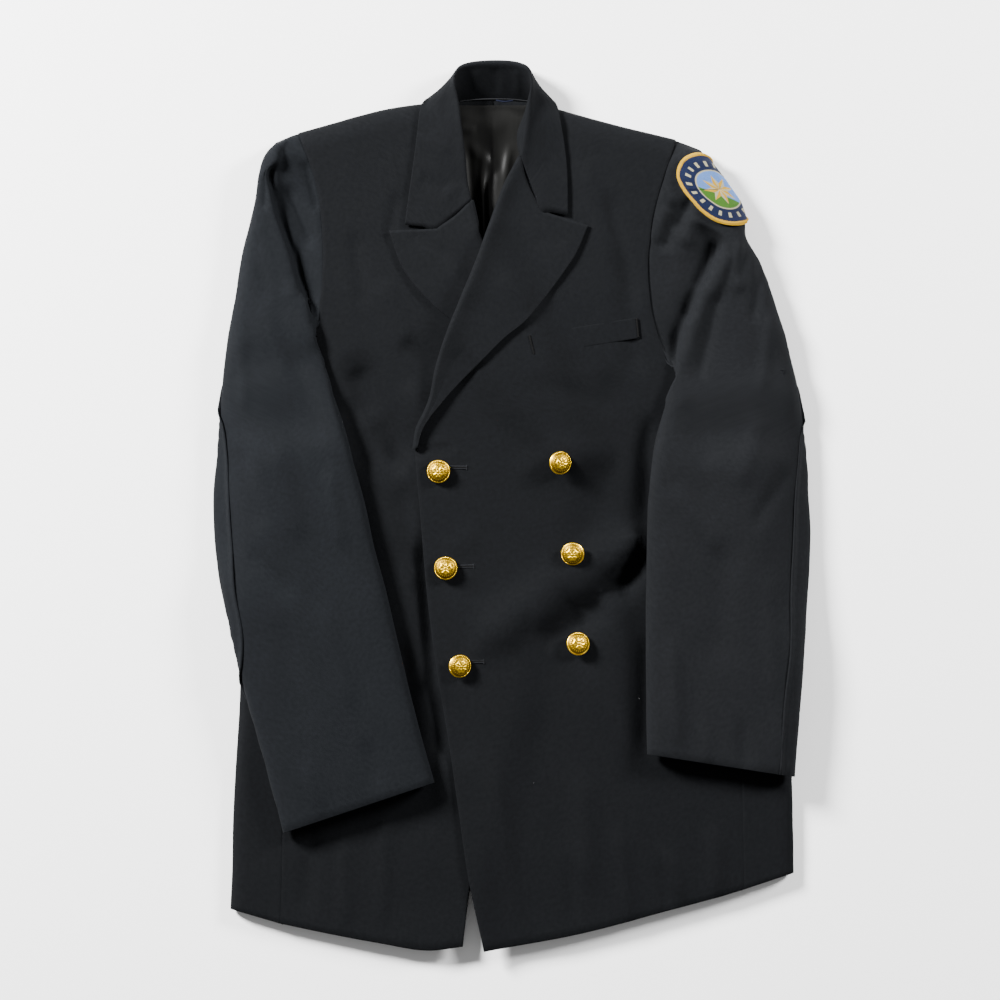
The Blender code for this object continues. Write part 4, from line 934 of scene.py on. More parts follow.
def shell(name, grid, wall, material, nodes=(), places=None, sewn=()):
    """One closed cloth piece with a rounded rim, with its own length and width as its UV map."""
    rows, columns = grid.shape[:2]
    normal = grid_normals(grid)
    boundary = ([(0, c) for c in range(columns)] + [(r, columns - 1) for r in range(1, rows)]
                + [(rows - 1, c) for c in range(columns - 2, -1, -1)]
                + [(r, 0) for r in range(rows - 2, 0, -1)])
    r, c = np.array(boundary).T
    inner = grid[np.clip(r, 1, rows - 2), np.clip(c, 1, columns - 2)]
    out = grid[r, c] - inner
    out -= normal[r, c] * np.sum(out * normal[r, c], axis=1, keepdims=True)
    out = unit(out)
    flat = grid.copy()
    is_sewn = np.zeros(len(r), bool)
    for edge, at in (("first_row", r == 0), ("last_row", r == rows - 1), ("first_column", c == 0),
                     ("last_column", c == columns - 1)):
        if edge in sewn:
            is_sewn |= at
    rounding = np.where(is_sewn, 0.0, wall * RIM)[:, None]
    flat[r, c] -= out * rounding
    rim_high = grid[r, c] - out * rounding * 0.24 + normal[r, c] * wall * 0.3
    rim_low = grid[r, c] - out * rounding * 0.24 - normal[r, c] * wall * 0.3
    points = np.concatenate([(flat + normal * wall / 2).reshape(-1, 3),
                             (flat - normal * wall / 2).reshape(-1, 3), rim_high, rim_low])
    index = np.arange(rows * columns).reshape(rows, columns)
    quad = np.stack([index[:-1, :-1], index[:-1, 1:], index[1:, 1:], index[1:, :-1]], axis=-1)
    quad = quad.reshape(-1, 4)
    size = rows * columns
    loop = index[r, c]
    after = np.roll(loop, -1)
    high = 2 * size + np.arange(len(loop))
    low = high + len(loop)
    strips = [np.stack(strip, axis=-1) for strip in (
        (after, loop, high, np.roll(high, -1)),
        (np.roll(high, -1), high, low, np.roll(low, -1)),
        (np.roll(low, -1), low, loop + size, after + size))]
    faces = np.concatenate([quad, quad[:, ::-1] + size] + strips)
    distance = edge_distances(grid)
    uv = np.stack([distance["first_column"], distance["first_row"]], axis=-1).reshape(-1, 2) * MM
    uv = np.concatenate([uv, uv, uv[loop], uv[loop]])

    mesh = bpy.data.meshes.new(name)
    mesh.from_pydata(((points - MIDDLE) * MM).tolist(), [], faces.tolist())
    corners = np.zeros(len(mesh.loops), int)
    mesh.loops.foreach_get("vertex_index", corners)
    maps = {"cloth": uv}
    if places is not None:
        flat_places = places.reshape(-1, 2) * MM
        maps["pattern"] = np.concatenate([flat_places, flat_places, flat_places[loop], flat_places[loop]])
    for label, values in maps.items():
        layer = mesh.uv_layers.new(name=label)
        layer.data.foreach_set("uv", values[corners].astype(np.float32).ravel())
    bm = bmesh.new()
    bm.from_mesh(mesh)
    bmesh.ops.remove_doubles(bm, verts=bm.verts, dist=0.01 * MM)
    bmesh.ops.dissolve_degenerate(bm, edges=bm.edges, dist=0.01 * MM)
    bmesh.ops.recalc_face_normals(bm, faces=bm.faces)
    bm.to_mesh(mesh)
    bm.free()
    mesh.shade_smooth()
    mesh.materials.append(material)
    piece = new_piece(name, mesh)
    if nodes:
        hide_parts(*nodes)
    return piece


def plain_mesh(name, bm, material):
    """A piece that isn't a sheet: a bmesh in metres, shaded smooth."""
    mesh = bpy.data.meshes.new(name)
    bmesh.ops.recalc_face_normals(bm, faces=bm.faces)
    bm.to_mesh(mesh)
    bm.free()
    mesh.shade_smooth()
    mesh.materials.append(material)
    return new_piece(name, mesh)


def panel_seam(side, which):
    """Edge of a body panel from the hem up its side seam and round the armhole."""
    hole = armhole(side["head"], len(side["head"]) - 1)
    return join(side_seam(side["rows"], which, side["fold"], side["sign"]), hole)


def foot_points(indices):
    return np.array([COLLAR_ROWS[i][:2] for i in indices])


def front_grid(side):
    seam = panel_seam(side, "front")
    neck = foot_points(side["neck"])
    edge_rows = len(seam) - (len(side["roll"]) - 1) - len(neck)
    inner = np.vstack([even(side["edge"], edge_rows), np.array(side["roll"])[1:], neck])
    hem, shoulder = even(side["hem"], FRONT_PANEL_COLUMNS), even(side["shoulder"], FRONT_PANEL_COLUMNS)
    plan = coons(hem, shoulder, seam, inner)
    neck_rows = slice(len(seam) - len(neck) - 1, len(seam))
    plan[neck_rows] = draw_back(plan[neck_rows], last_column=FACING_WALL / 2 + 1.1)
    return drape(refine(plan, FINE_ROWS, FINE_COLUMNS), side["height"])


def back_grid(side):
    seam = panel_seam(side, "back")
    top = join(even(side["shoulder"], FRONT_PANEL_COLUMNS), foot_points(side["back_neck"]))
    plan = coons(even(side["back_hem"], len(top)), top, seam, even(CENTRE_BACK, len(seam)))
    return drape(refine(plan, FINE_ROWS - 2, FINE_COLUMNS - 2), back_height)


def sleeve_surface(side):
    """Height of the body under a sleeve, falling to the floor outside the body."""
    def surface(x, y):
        inside = (x - row_value(y, side["fold"])) * side["sign"]
        return (loft(x, y) + FRONT_WALL / 2 + SLEEVE_CLEAR) * smoothstep((inside + 24.0) / 16.0)
    return surface


def fine_lapel(side):
    """Lapel grid with its lip round the roll line, on fine rows and columns."""
    roll_points = even(side["roll"], LAPEL_ROWS)
    outer = even(side["lapel_edge"], LAPEL_ROWS)
    first, second = LAPEL_SPAN
    top = join(even(side["gorge"], first), np.linspace(np.array(side["gorge"][-1]), outer[-1], second))
    foot = np.linspace(roll_points[0], outer[0], len(top))
    plan = coons(foot, top, roll_points, outer)
    grid = drape(plan, on_front(side["height"]))
    grid[..., 2] += roll_lift(np.linalg.norm(plan - plan[:, :1], axis=-1))
    tangent = np.gradient(roll_points, axis=0)
    away = unit(np.stack([tangent[:, 1], -tangent[:, 0]], axis=1))
    if np.dot(away[LAPEL_ROWS // 2], plan[LAPEL_ROWS // 2, -1] - roll_points[LAPEL_ROWS // 2]) > 0:
        away = -away
    body = side["height"](roll_points[:, 0], roll_points[:, 1])
    crown = grid[:, 0, 2]
    lips = [np.column_stack([roll_points + away * reach, crown + (body - 0.4 - crown) * drop])
            for reach, drop in ((1.9, 1.0), (2.1, 0.6), (1.7, 0.28), (0.9, 0.07))]
    return np.concatenate([np.stack(lips, axis=1), grid], axis=1)


# Fine sleeves
PATH_POINTS = (34, 44, 64)
SLEEVE_STEPS = 7
SLEEVE_COLUMNS = (18, 58, 34)
SEWN_GAP = 0.04


def fine_sleeve(side):
    """Fine grids of the top sleeve and the under sleeve, cut from paths smoothed between the rows."""
    head, tube = side["head"], side["tube"]
    surface = sleeve_surface(side)
    paths, places = [], []
    for row, (point, fold, edge) in enumerate(head + tube):
        dense, crest, turn = sleeve_path(head, point, fold, edge, row, side["valley"], side["room"],
                                         surface)
        if row == 0:
            line = np.linspace(np.array(point), np.array(edge), 40)
            line = np.column_stack([line, np.full(len(line), seam_height(*point))])
            dense, crest, turn = np.vstack([line, line[-2::-1]]), 14, 39
        stretches = (dense[:crest + 1], dense[crest:turn + 1], dense[turn:])
        parts = [pick(part, np.linspace(0, lengths(part)[-1], count))
                 for part, count in zip(stretches, PATH_POINTS)]
        paths.append(join(*parts))
        value = side["hind"].get(row, -1.0)
        over = lengths(parts[1])[-1]
        places.append(-value / over if value > 0 else -value)
    fine = curve(np.array(paths).reshape(len(paths), -1), SLEEVE_STEPS).reshape(-1, len(paths[0]), 3)
    row_of = np.arange(len(fine)) / SLEEVE_STEPS
    place = np.interp(row_of, np.arange(len(paths)), places)
    blur = np.ones(SLEEVE_STEPS) / SLEEVE_STEPS
    half = SLEEVE_STEPS // 2
    place = np.convolve(np.pad(place, (half, SLEEVE_STEPS - 1 - half), mode="edge"), blur, mode="valid")
    first_hind = min(side["hind"]) - 1
    crest, turn = PATH_POINTS[0] - 1, PATH_POINTS[0] + PATH_POINTS[1] - 2
    front, over, beneath = SLEEVE_COLUMNS
    top_rows, under_rows = [], []
    for row, path, at in zip(row_of, fine, place):
        s = lengths(path)
        seam = s[turn] + at * (s[-1] - s[turn] if at > 0 else s[turn] - s[crest])
        gap = SEWN_GAP if row > first_hind else 0.0
        to_crest = np.linspace(SEWN_GAP, s[crest], front)
        stops = np.concatenate([to_crest, np.linspace(s[crest], seam - gap, over)[1:]])
        top_rows.append(pick(path, stops))
        if row > first_hind + 0.3:
            under_rows.append(pick(path, np.linspace(seam + gap, s[-1] - SEWN_GAP, beneath)))
    return np.array(top_rows), np.array(under_rows), paths


def patch_point(marked, head, y, inboard):
    """Point of the sleeve at a plan y, and at a distance along the cloth from its outer edge."""
    edge_y = y
    for _ in range(4):
        point = sleeve_point(marked, head, edge_y, inboard)
        edge_y -= point[1] - y
    return point


def patch_surface(paths, head):
    """Round patch that follows the sleeve, with each point's place in the pattern in millimetres."""
    turn = PATH_POINTS[0] + PATH_POINTS[1] - 2
    marked = [(path, turn) for path in paths]
    raised = SLEEVE_WALL / 2 + PATCH_CLEAR + PATCH_WALL / 2

    def at(y, inboard):
        return patch_point(marked, head, y, inboard)

    grid, places = [], []
    for spoke in range(PATCH_SPOKES + 1):
        angle = 2 * math.pi * (spoke % PATCH_SPOKES) / PATCH_SPOKES
        row, place = [], []
        for ring in range(PATCH_RINGS + 1):
            radius = PATCH_DIAMETER / 2 * ring / PATCH_RINGS
            x, y = radius * math.cos(angle), radius * math.sin(angle)
            at_y, inboard = PATCH_CENTRE_Y + y, PATCH_INBOARD + x
            along = at(at_y + 6, inboard) - at(at_y - 6, inboard)
            across = at(at_y, inboard + 4) - at(at_y, inboard - 4)
            normal = np.cross(along, across)
            normal /= np.linalg.norm(normal)
            row.append(at(at_y, inboard) + normal * raised)
            place.append((-x, y))
        grid.append(row)
        places.append(place)
    return np.array(grid), np.array(places)


# Colours of the looks, linear
PALETTE = {
    "wool": (0.0038, 0.0041, 0.0047),
    # Sleeves: lighter copies of the body's wool, painted light on the sleeves; the viewer's left one is
    # bluer, also painted light
    "wool_lit_sleeve": (0.0056, 0.0060, 0.0068),
    "wool_lit_blue_sleeve": (0.0050, 0.0056, 0.0066),
    "satin": (0.0066, 0.0066, 0.0062),
    "gilt": (0.80, 0.50, 0.022),
    # Painted shade in the buttons' recesses
    "gilt_recess_shade": (0.050, 0.021, 0.001),
    "border": (0.30, 0.17, 0.006),
    "disc": (0.060, 0.125, 0.30),
    "ring": (0.22, 0.20, 0.13),
    "band": (0.002, 0.005, 0.022),
    "field": (0.03, 0.085, 0.008),
    # Hanger tape: lighter than the lining as a painted highlight on its top edge
    "tape_highlight": (0.010, 0.0105, 0.0115),
    "loop": (0.002, 0.003, 0.010),
    "lint": (0.16, 0.16, 0.16),
    "thread": (0.0075, 0.008, 0.0095),
    # Near-black of the buttonhole cuts and the welt's ends: painted shade
    "slit_shade": (0.0012, 0.0012, 0.0012),
    "floor": (0.93, 0.93, 0.93),
}


def add(tree, kind, inputs=(), **settings):
    """A node with its settings, and its inputs set to values or linked to sockets."""
    node = tree.nodes.new(kind)
    for name, value in settings.items():
        setattr(node, name, value)
    for key, value in dict(inputs).items():
        socket = node.inputs[key]
        if isinstance(value, bpy.types.NodeSocket):
            tree.links.new(value, socket)
        else:
            socket.default_value = value
    return node


def group(name, inputs, outputs):
    """A shader node group with its named sockets, its tree, its input node and its output node."""
    tree = bpy.data.node_groups.new(name, "ShaderNodeTree")
    for label, kind, value in inputs:
        socket = tree.interface.new_socket(name=label, in_out="INPUT", socket_type=kind)
        if value is not None:
            socket.default_value = value
    for label, kind in outputs:
        tree.interface.new_socket(name=label, in_out="OUTPUT", socket_type=kind)
    return tree, tree.nodes.new("NodeGroupInput"), tree.nodes.new("NodeGroupOutput")


def math_node(tree, operation, a, b=0.0):
    return add(tree, "ShaderNodeMath", {0: a, 1: b}, operation=operation).outputs[0]


def cloth_group(rib_width):
    """Serge seen close: fine diagonal ribs broken up by fibre, as a normal and a faint colour change."""
    tree, source, result = group("serge", (
        ("Rib width", "NodeSocketFloat", rib_width), ("Depth", "NodeSocketFloat", 0.35),
        ("Mottle", "NodeSocketFloat", 0.18),
    ), (("Normal", "NodeSocketVector"), ("Tone", "NodeSocketFloat")))
    cloth = add(tree, "ShaderNodeUVMap", uv_map="cloth").outputs["UV"]
    parts = add(tree, "ShaderNodeSeparateXYZ", {0: cloth})
    climb = math_node(tree, "MULTIPLY", parts.outputs["Y"], 0.8)
    diagonal = math_node(tree, "ADD", parts.outputs["X"], climb)
    fibre = add(tree, "ShaderNodeTexNoise", {"Vector": cloth, "Scale": 900.0, "Detail": 3.0})
    turn = math_node(tree, "DIVIDE", diagonal, source.outputs["Rib width"])
    turn = math_node(tree, "ADD", math_node(tree, "MULTIPLY", turn, 2 * math.pi), fibre.outputs["Fac"])
    rib = math_node(tree, "MULTIPLY", math_node(tree, "SINE", turn), 0.5)
    height = math_node(tree, "ADD", rib, math_node(tree, "MULTIPLY", fibre.outputs["Fac"], 1.6))
    bump = add(tree, "ShaderNodeBump", {"Strength": source.outputs["Depth"], "Distance": 0.00016,
                                        "Height": height})
    tree.links.new(bump.outputs["Normal"], result.inputs["Normal"])
    cloud = add(tree, "ShaderNodeTexNoise", {"Vector": cloth, "Scale": 260.0, "Detail": 4.0})
    spread = math_node(tree, "MULTIPLY", math_node(tree, "SUBTRACT", cloud.outputs["Fac"], 0.5),
                       source.outputs["Mottle"])
    tone = math_node(tree, "ADD", math_node(tree, "MULTIPLY", spread, 4.0), 1.0)
    tree.links.new(tone, result.inputs["Tone"])
    return tree


def base_material(name, roughness, metallic=0.0):
    material = bpy.data.materials.new(name)
    material.use_nodes = True
    shader = material.node_tree.nodes["Principled BSDF"]
    shader.inputs["Roughness"].default_value = roughness
    shader.inputs["Metallic"].default_value = metallic
    return material, material.node_tree, shader


def wool_material(name, color, serge):
    material, tree, shader = base_material(name, 0.82)
    weave = add(tree, "ShaderNodeGroup", node_tree=serge)
    tone = add(tree, "ShaderNodeVectorMath", {0: color, "Scale": weave.outputs["Tone"]}, operation="SCALE")
    tree.links.new(tone.outputs["Vector"], shader.inputs["Base Color"])
    tree.links.new(weave.outputs["Normal"], shader.inputs["Normal"])
    shader.inputs["Sheen Weight"].default_value = 0.006
    shader.inputs["Sheen Roughness"].default_value = 0.5
    shader.inputs["Specular IOR Level"].default_value = 0.025
    material.diffuse_color = (*color, 1.0)
    return material


def satin_material():
    material, tree, shader = base_material("satin", 0.36)
    shader.inputs["Base Color"].default_value = (*PALETTE["satin"], 1.0)
    cloth = add(tree, "ShaderNodeUVMap", uv_map="cloth").outputs["UV"]
    long = add(tree, "ShaderNodeMapping", {"Vector": cloth, "Scale": (1.0, 0.12, 1.0)})
    wave = add(tree, "ShaderNodeTexNoise", {"Vector": long.outputs[0], "Scale": 120.0, "Detail": 2.0})
    bump = add(tree, "ShaderNodeBump", {"Strength": 0.25, "Distance": 0.0008,
                                        "Height": wave.outputs["Fac"]})
    tree.links.new(bump.outputs["Normal"], shader.inputs["Normal"])
    shader.inputs["Specular IOR Level"].default_value = 0.22
    material.diffuse_color = (*PALETTE["satin"], 1.0)
    return material


def gilt_material():
    """Gilding that is bright on the raised parts, darker in the recesses as painted shade, and rougher
    there.
    """
    material, tree, shader = base_material("gilt", 0.3, 1.0)
    recess_shade_and_matte = add(tree, "ShaderNodeAttribute", attribute_name="recess_shade_and_matte").outputs["Fac"]
    bright, dull = ((*PALETTE[key], 1.0) for key in ("gilt", "gilt_recess_shade"))
    # Painted shade: the colour darkens where the relief is low
    tree.links.new(blend_color(tree, recess_shade_and_matte, bright, dull), shader.inputs["Base Color"])
    rough = math_node(tree, "ADD", math_node(tree, "MULTIPLY", recess_shade_and_matte, 0.25), 0.30)
    tree.links.new(rough, shader.inputs["Roughness"])
    material.diffuse_color = (*PALETTE["gilt"], 1.0)
    return material


def plain_material(name, color, roughness=0.8):
    material, _, shader = base_material(name, roughness)
    shader.inputs["Specular IOR Level"].default_value = 0.1
    shader.inputs["Base Color"].default_value = (*color, 1.0)
    material.diffuse_color = (*color, 1.0)
    return material


def step_mask(tree, value, edge, soft=0.25):
    """1 where the value is under the edge, with a soft change, in millimetres."""
    limits = {"From Min": edge - soft, "From Max": edge + soft, "To Min": 1.0, "To Max": 0.0}
    return add(tree, "ShaderNodeMapRange", {"Value": value, **limits}).outputs[0]


def spoke_mask(tree, angle, count, above):
    """1 on spokes spaced evenly round the middle, as many as the count and wider for a lower limit."""
    wave = math_node(tree, "SINE", math_node(tree, "MULTIPLY", angle, count))
    return math_node(tree, "GREATER_THAN", wave, above)


def blend_color(tree, mask, below, above):
    """Colour above where the mask is 1, else the colour below."""
    node = add(tree, "ShaderNodeMix", {0: mask, 6: below, 7: above}, data_type="RGBA")
    return node.outputs[2]


def patch_material():
    """Embroidery of a generic patch: rings, a compass star and threads that run out from the middle."""
    material, tree, shader = base_material("patch", 0.7)
    shader.inputs["Specular IOR Level"].default_value = 0.1
    place = add(tree, "ShaderNodeUVMap", uv_map="pattern").outputs["UV"]
    parts = add(tree, "ShaderNodeSeparateXYZ", {0: place})
    x, y = (math_node(tree, "MULTIPLY", parts.outputs[axis], 1000.0) for axis in ("X", "Y"))
    squares = [math_node(tree, "MULTIPLY", value, value) for value in (x, y)]
    radius = math_node(tree, "SQRT", math_node(tree, "ADD", *squares))
    angle = math_node(tree, "ARCTAN2", y, x)
    colors = {key: (*value, 1.0) for key, value in PALETTE.items()}
    # Hill line across the middle disc
    hill = math_node(tree, "ADD", y, math_node(tree, "MULTIPLY", x, 0.55))
    look = blend_color(tree, step_mask(tree, hill, -6.0), colors["disc"], colors["field"])
    # Star of eight points: its reach changes with the angle
    fold = math_node(tree, "PINGPONG", math_node(tree, "ADD", angle, 2 * math.pi), math.pi / 8)
    reach = math_node(tree, "DIVIDE", 4.6, math_node(tree, "ADD", fold, 0.34))
    star = step_mask(tree, math_node(tree, "SUBTRACT", radius, reach), 0.0)
    look = blend_color(tree, star, look, colors["ring"])
    facet = math_node(tree, "MULTIPLY", star, spoke_mask(tree, angle, 8.0, 0.0))
    look = blend_color(tree, facet, look, colors["border"])
    # Rings, from the inner one out
    for edge, key in ((17.4, "ring"), (18.6, "band"), (31.6, "border")):
        outside = math_node(tree, "SUBTRACT", 1.0, step_mask(tree, radius, edge))
        look = blend_color(tree, outside, look, colors[key])
    # Bars spaced evenly round the band
    bars = spoke_mask(tree, angle, 18.0, 0.55)
    middle = math_node(tree, "ABSOLUTE", math_node(tree, "SUBTRACT", radius, 24.0))
    bars = math_node(tree, "MULTIPLY", bars, step_mask(tree, middle, 2.3))
    look = blend_color(tree, bars, look, colors["ring"])
    # Threads
    grain = math_node(tree, "SINE", math_node(tree, "MULTIPLY", math_node(tree, "ADD", x, y), 7.0))
    noise = add(tree, "ShaderNodeTexNoise", {"Vector": place, "Scale": 1600.0})
    tone = math_node(tree, "ADD", math_node(tree, "MULTIPLY", grain, 0.08), math_node(
        tree, "ADD", math_node(tree, "MULTIPLY", noise.outputs["Fac"], 0.5), 0.70))
    shaded = add(tree, "ShaderNodeVectorMath", {0: look, "Scale": tone}, operation="SCALE")
    tree.links.new(shaded.outputs["Vector"], shader.inputs["Base Color"])
    bump = add(tree, "ShaderNodeBump", {"Strength": 0.5, "Distance": 0.0002, "Height": grain})
    tree.links.new(bump.outputs["Normal"], shader.inputs["Normal"])
    shader.inputs["Sheen Weight"].default_value = 0.02
    material.diffuse_color = colors["border"]
    return material


LOOKS = {}


def use_panel_colours():
    """Take the panel's colours, the sleeves' lighter wool, whose extra lightness is painted light, in step
    with the body's.
    """
    colours = bpy.context.scene.jacket_colours
    shift = [new / old for new, old in zip(colours.wool, PALETTE["wool"])]
    for key in ("wool_lit_sleeve", "wool_lit_blue_sleeve"):
        PALETTE[key] = tuple(value * by for value, by in zip(PALETTE[key], shift))
    for key in ("wool", "satin", "gilt", "border"):
        PALETTE[key] = tuple(getattr(colours, key))


def look(name):
    """The material of that name, made once, in the panel's colours."""
    if name not in LOOKS:
        if "serge" not in LOOKS:
            use_panel_colours()
            LOOKS["serge"] = cloth_group(bpy.context.scene.jacket_settings.rib_width)
        makers = {"satin": satin_material, "gilt": gilt_material, "patch": patch_material}
        if name.startswith("wool"):
            LOOKS[name] = wool_material(name, PALETTE[name], LOOKS["serge"])
        elif name in makers:
            LOOKS[name] = makers[name]()
        else:
            LOOKS[name] = plain_material(name, PALETTE[name])
    return LOOKS[name]


def stitch_group():
    """Geometry nodes: one rounded stitch repeated along a line, each turned and a little uneven."""
    tree = bpy.data.node_groups.new("stitches", "GeometryNodeTree")
    tree.interface.new_socket(name="Line", in_out="INPUT", socket_type="NodeSocketGeometry")
    for label, kind, value in (
            ("Spacing", "NodeSocketFloat", 0.001), ("Size", "NodeSocketVector", (0.001, 0.0005, 0.0005)),
            ("Slant", "NodeSocketFloat", 0.0), ("Unevenness", "NodeSocketFloat", 0.1),
            ("Seed", "NodeSocketInt", 4), ("Thread", "NodeSocketMaterial", None)):
        socket = tree.interface.new_socket(name=label, in_out="INPUT", socket_type=kind)
        if value is not None:
            socket.default_value = value
    tree.interface.new_socket(name="Stitches", in_out="OUTPUT", socket_type="NodeSocketGeometry")
    source, result = tree.nodes.new("NodeGroupInput"), tree.nodes.new("NodeGroupOutput")
    line = add(tree, "GeometryNodeMeshToCurve", {"Mesh": source.outputs["Line"]})
    upright = add(tree, "GeometryNodeSetCurveNormal", {"Curve": line.outputs["Curve"]}, mode="Z_UP")
    points = add(tree, "GeometryNodeCurveToPoints", {"Curve": upright.outputs["Curve"],
                                                     "Length": source.outputs["Spacing"]}, mode="LENGTH")
    ball = add(tree, "GeometryNodeMeshUVSphere", {"Segments": 8, "Rings": 5, "Radius": 0.5})
    smooth = add(tree, "GeometryNodeSetShadeSmooth", {"Geometry": ball.outputs["Mesh"]})
    low = math_node(tree, "SUBTRACT", 1.0, source.outputs["Unevenness"])
    high = math_node(tree, "ADD", 1.0, source.outputs["Unevenness"])
    vary = add(tree, "FunctionNodeRandomValue", {"Seed": source.outputs["Seed"]}, data_type="FLOAT")
    tree.links.new(low, vary.inputs[2])
    tree.links.new(high, vary.inputs[3])
    size = add(tree, "ShaderNodeVectorMath", {0: source.outputs["Size"], "Scale": vary.outputs[1]},
               operation="SCALE")
    slant = add(tree, "ShaderNodeCombineXYZ", {"Y": source.outputs["Slant"]})
    turned = add(tree, "FunctionNodeRotateRotation", {
        "Rotation": points.outputs["Rotation"], "Rotate By": slant.outputs[0]}, rotation_space="LOCAL")
    placed = add(tree, "GeometryNodeInstanceOnPoints", {
        "Points": points.outputs["Points"], "Instance": smooth.outputs["Geometry"],
        "Rotation": turned.outputs["Rotation"], "Scale": size.outputs["Vector"]})
    real = add(tree, "GeometryNodeRealizeInstances", {"Geometry": placed.outputs["Instances"]})
    colored = add(tree, "GeometryNodeSetMaterial", {"Geometry": real.outputs["Geometry"],
                                                    "Material": source.outputs["Thread"]})
    tree.links.new(colored.outputs["Geometry"], result.inputs["Stitches"])
    return tree


def stitches(name, lines, material, spacing, size, slant=0.0, unevenness=0.1, seed=4):
    """Stitches along lines of points, which are closed where the last point is the first one."""
    if "stitches" not in LOOKS:
        LOOKS["stitches"] = stitch_group()
    tree = LOOKS["stitches"]
    points, edges = [], []
    for line in lines:
        start = len(points)
        closed = np.linalg.norm(line[0] - line[-1]) < 1e-6
        run = line[:-1] if closed else line
        points += list((run - MIDDLE) * MM)
        edges += [(start + i, start + i + 1) for i in range(len(run) - 1)]
        if closed:
            edges.append((start + len(run) - 1, start))
    guide = bpy.data.meshes.new(name + "_line")
    guide.from_pydata([tuple(p) for p in points], edges, [])
    holder = bpy.data.objects.new(name + "_line", guide)
    bpy.context.scene.collection.objects.link(holder)
    modifier = holder.modifiers.new("stitches", "NODES")
    modifier.node_group = tree
    values = {"Spacing": spacing * MM, "Size": [value * MM for value in size], "Slant": slant,
              "Unevenness": unevenness, "Seed": seed, "Thread": material}
    for item in tree.interface.items_tree:
        if item.item_type == "SOCKET" and item.in_out == "INPUT" and item.name in values:
            modifier[item.identifier] = values[item.name]
    bpy.context.view_layer.update()
    evaluated = holder.evaluated_get(bpy.context.evaluated_depsgraph_get())
    mesh = bpy.data.meshes.new_from_object(evaluated)
    holder.modifiers.remove(modifier)
    bpy.data.objects.remove(holder, do_unlink=True)
    if not mesh.polygons:
        raise RuntimeError(name + " has no stitches")
    mesh.materials.clear()
    mesh.materials.append(material)
    return new_piece(name, mesh)


def compass_relief(x, y):
    """Raised pattern of a generic button: an eight-petal rosette in a ring of beads, from 0 to 1."""
    radius = np.hypot(x, y)
    angle = np.arctan2(y, x)
    petal = np.abs(np.cos(angle * 4)) ** 0.6
    rosette = petal * smoothstep((6.0 - radius) / 1.2) * smoothstep((radius - 1.4) / 0.8)
    centre = np.sqrt(np.maximum(1 - (radius / 1.5) ** 2, 0))
    beads = np.maximum(np.cos(angle * 24), 0) * np.exp(-((radius - 7.6) / 0.55) ** 2)
    rays = np.abs(np.sin(angle * 4)) ** 4 * np.exp(-((radius - 5.6) / 0.8) ** 2) * 0.7
    return np.clip(rosette + centre + beads + rays, 0, 1)


def button_surface():
    """Points of the button, its faces, and how deep each point lies in the relief, which sets the painted
    shade in its recesses.
    """
    radius = BUTTON_DIAMETER / 2
    rings, spokes = 40, 96
    profile = [(0.01, 0.0), (SHANK_RADIUS, 0.0), (SHANK_RADIUS, BUTTON_SHANK), (radius * 0.8, BUTTON_SHANK),
               (radius - 0.3, BUTTON_SHANK + 0.2), (radius, BUTTON_SHANK + 0.7),
               (radius - 0.25, BUTTON_SHANK + 1.3), (radius - 0.9, BUTTON_SHANK + 1.6)]
    below_dome = len(profile)
    base = BUTTON_SHANK + 1.5
    dome = np.linspace(radius - 1.4, 0.01, rings)
    profile += [(r, base + BUTTON_DOME * math.sqrt(1 - (r / (radius - 1.0)) ** 2) * 0.92) for r in dome]
    profile = np.array(profile)
    turn = np.linspace(0, 2 * math.pi, spokes, endpoint=False)
    x = profile[:, :1] * np.cos(turn)
    y = profile[:, :1] * np.sin(turn)
    z = np.repeat(profile[:, 1:], spokes, axis=1)
    relief = compass_relief(x, y)
    top = np.zeros(len(profile))
    top[below_dome:] = 1
    z = z + (relief - 0.35) * 0.75 * top[:, None]
    # Darker and rougher where the relief is low: painted shade, with real roughness
    recess_shade_and_matte = (1 - relief) * top[:, None] * 0.85
    index = np.arange(x.size).reshape(x.shape)
    after = np.roll(index, -1, axis=1)
    faces = np.stack([index[:-1], after[:-1], after[1:], index[1:]], axis=-1).reshape(-1, 4).tolist()
    faces += [index[0][::-1].tolist(), index[-1].tolist()]
    return np.stack([x, y, z], axis=-1).reshape(-1, 3), faces, recess_shade_and_matte.ravel()


def button_frame(x, y, lean_x, lean_y, lift):
    """Place and turn of a button on the left front."""
    lift += SHANK_RADIUS * math.sin(math.radians(max(abs(lean_x), abs(lean_y))))
    place = np.array((x, y, float(left_front_height(x, y)) + FRONT_WALL / 2 + lift))
    turn = np.array(Euler((math.radians(lean_x), math.radians(lean_y), 0.0)).to_matrix())
    return place, turn


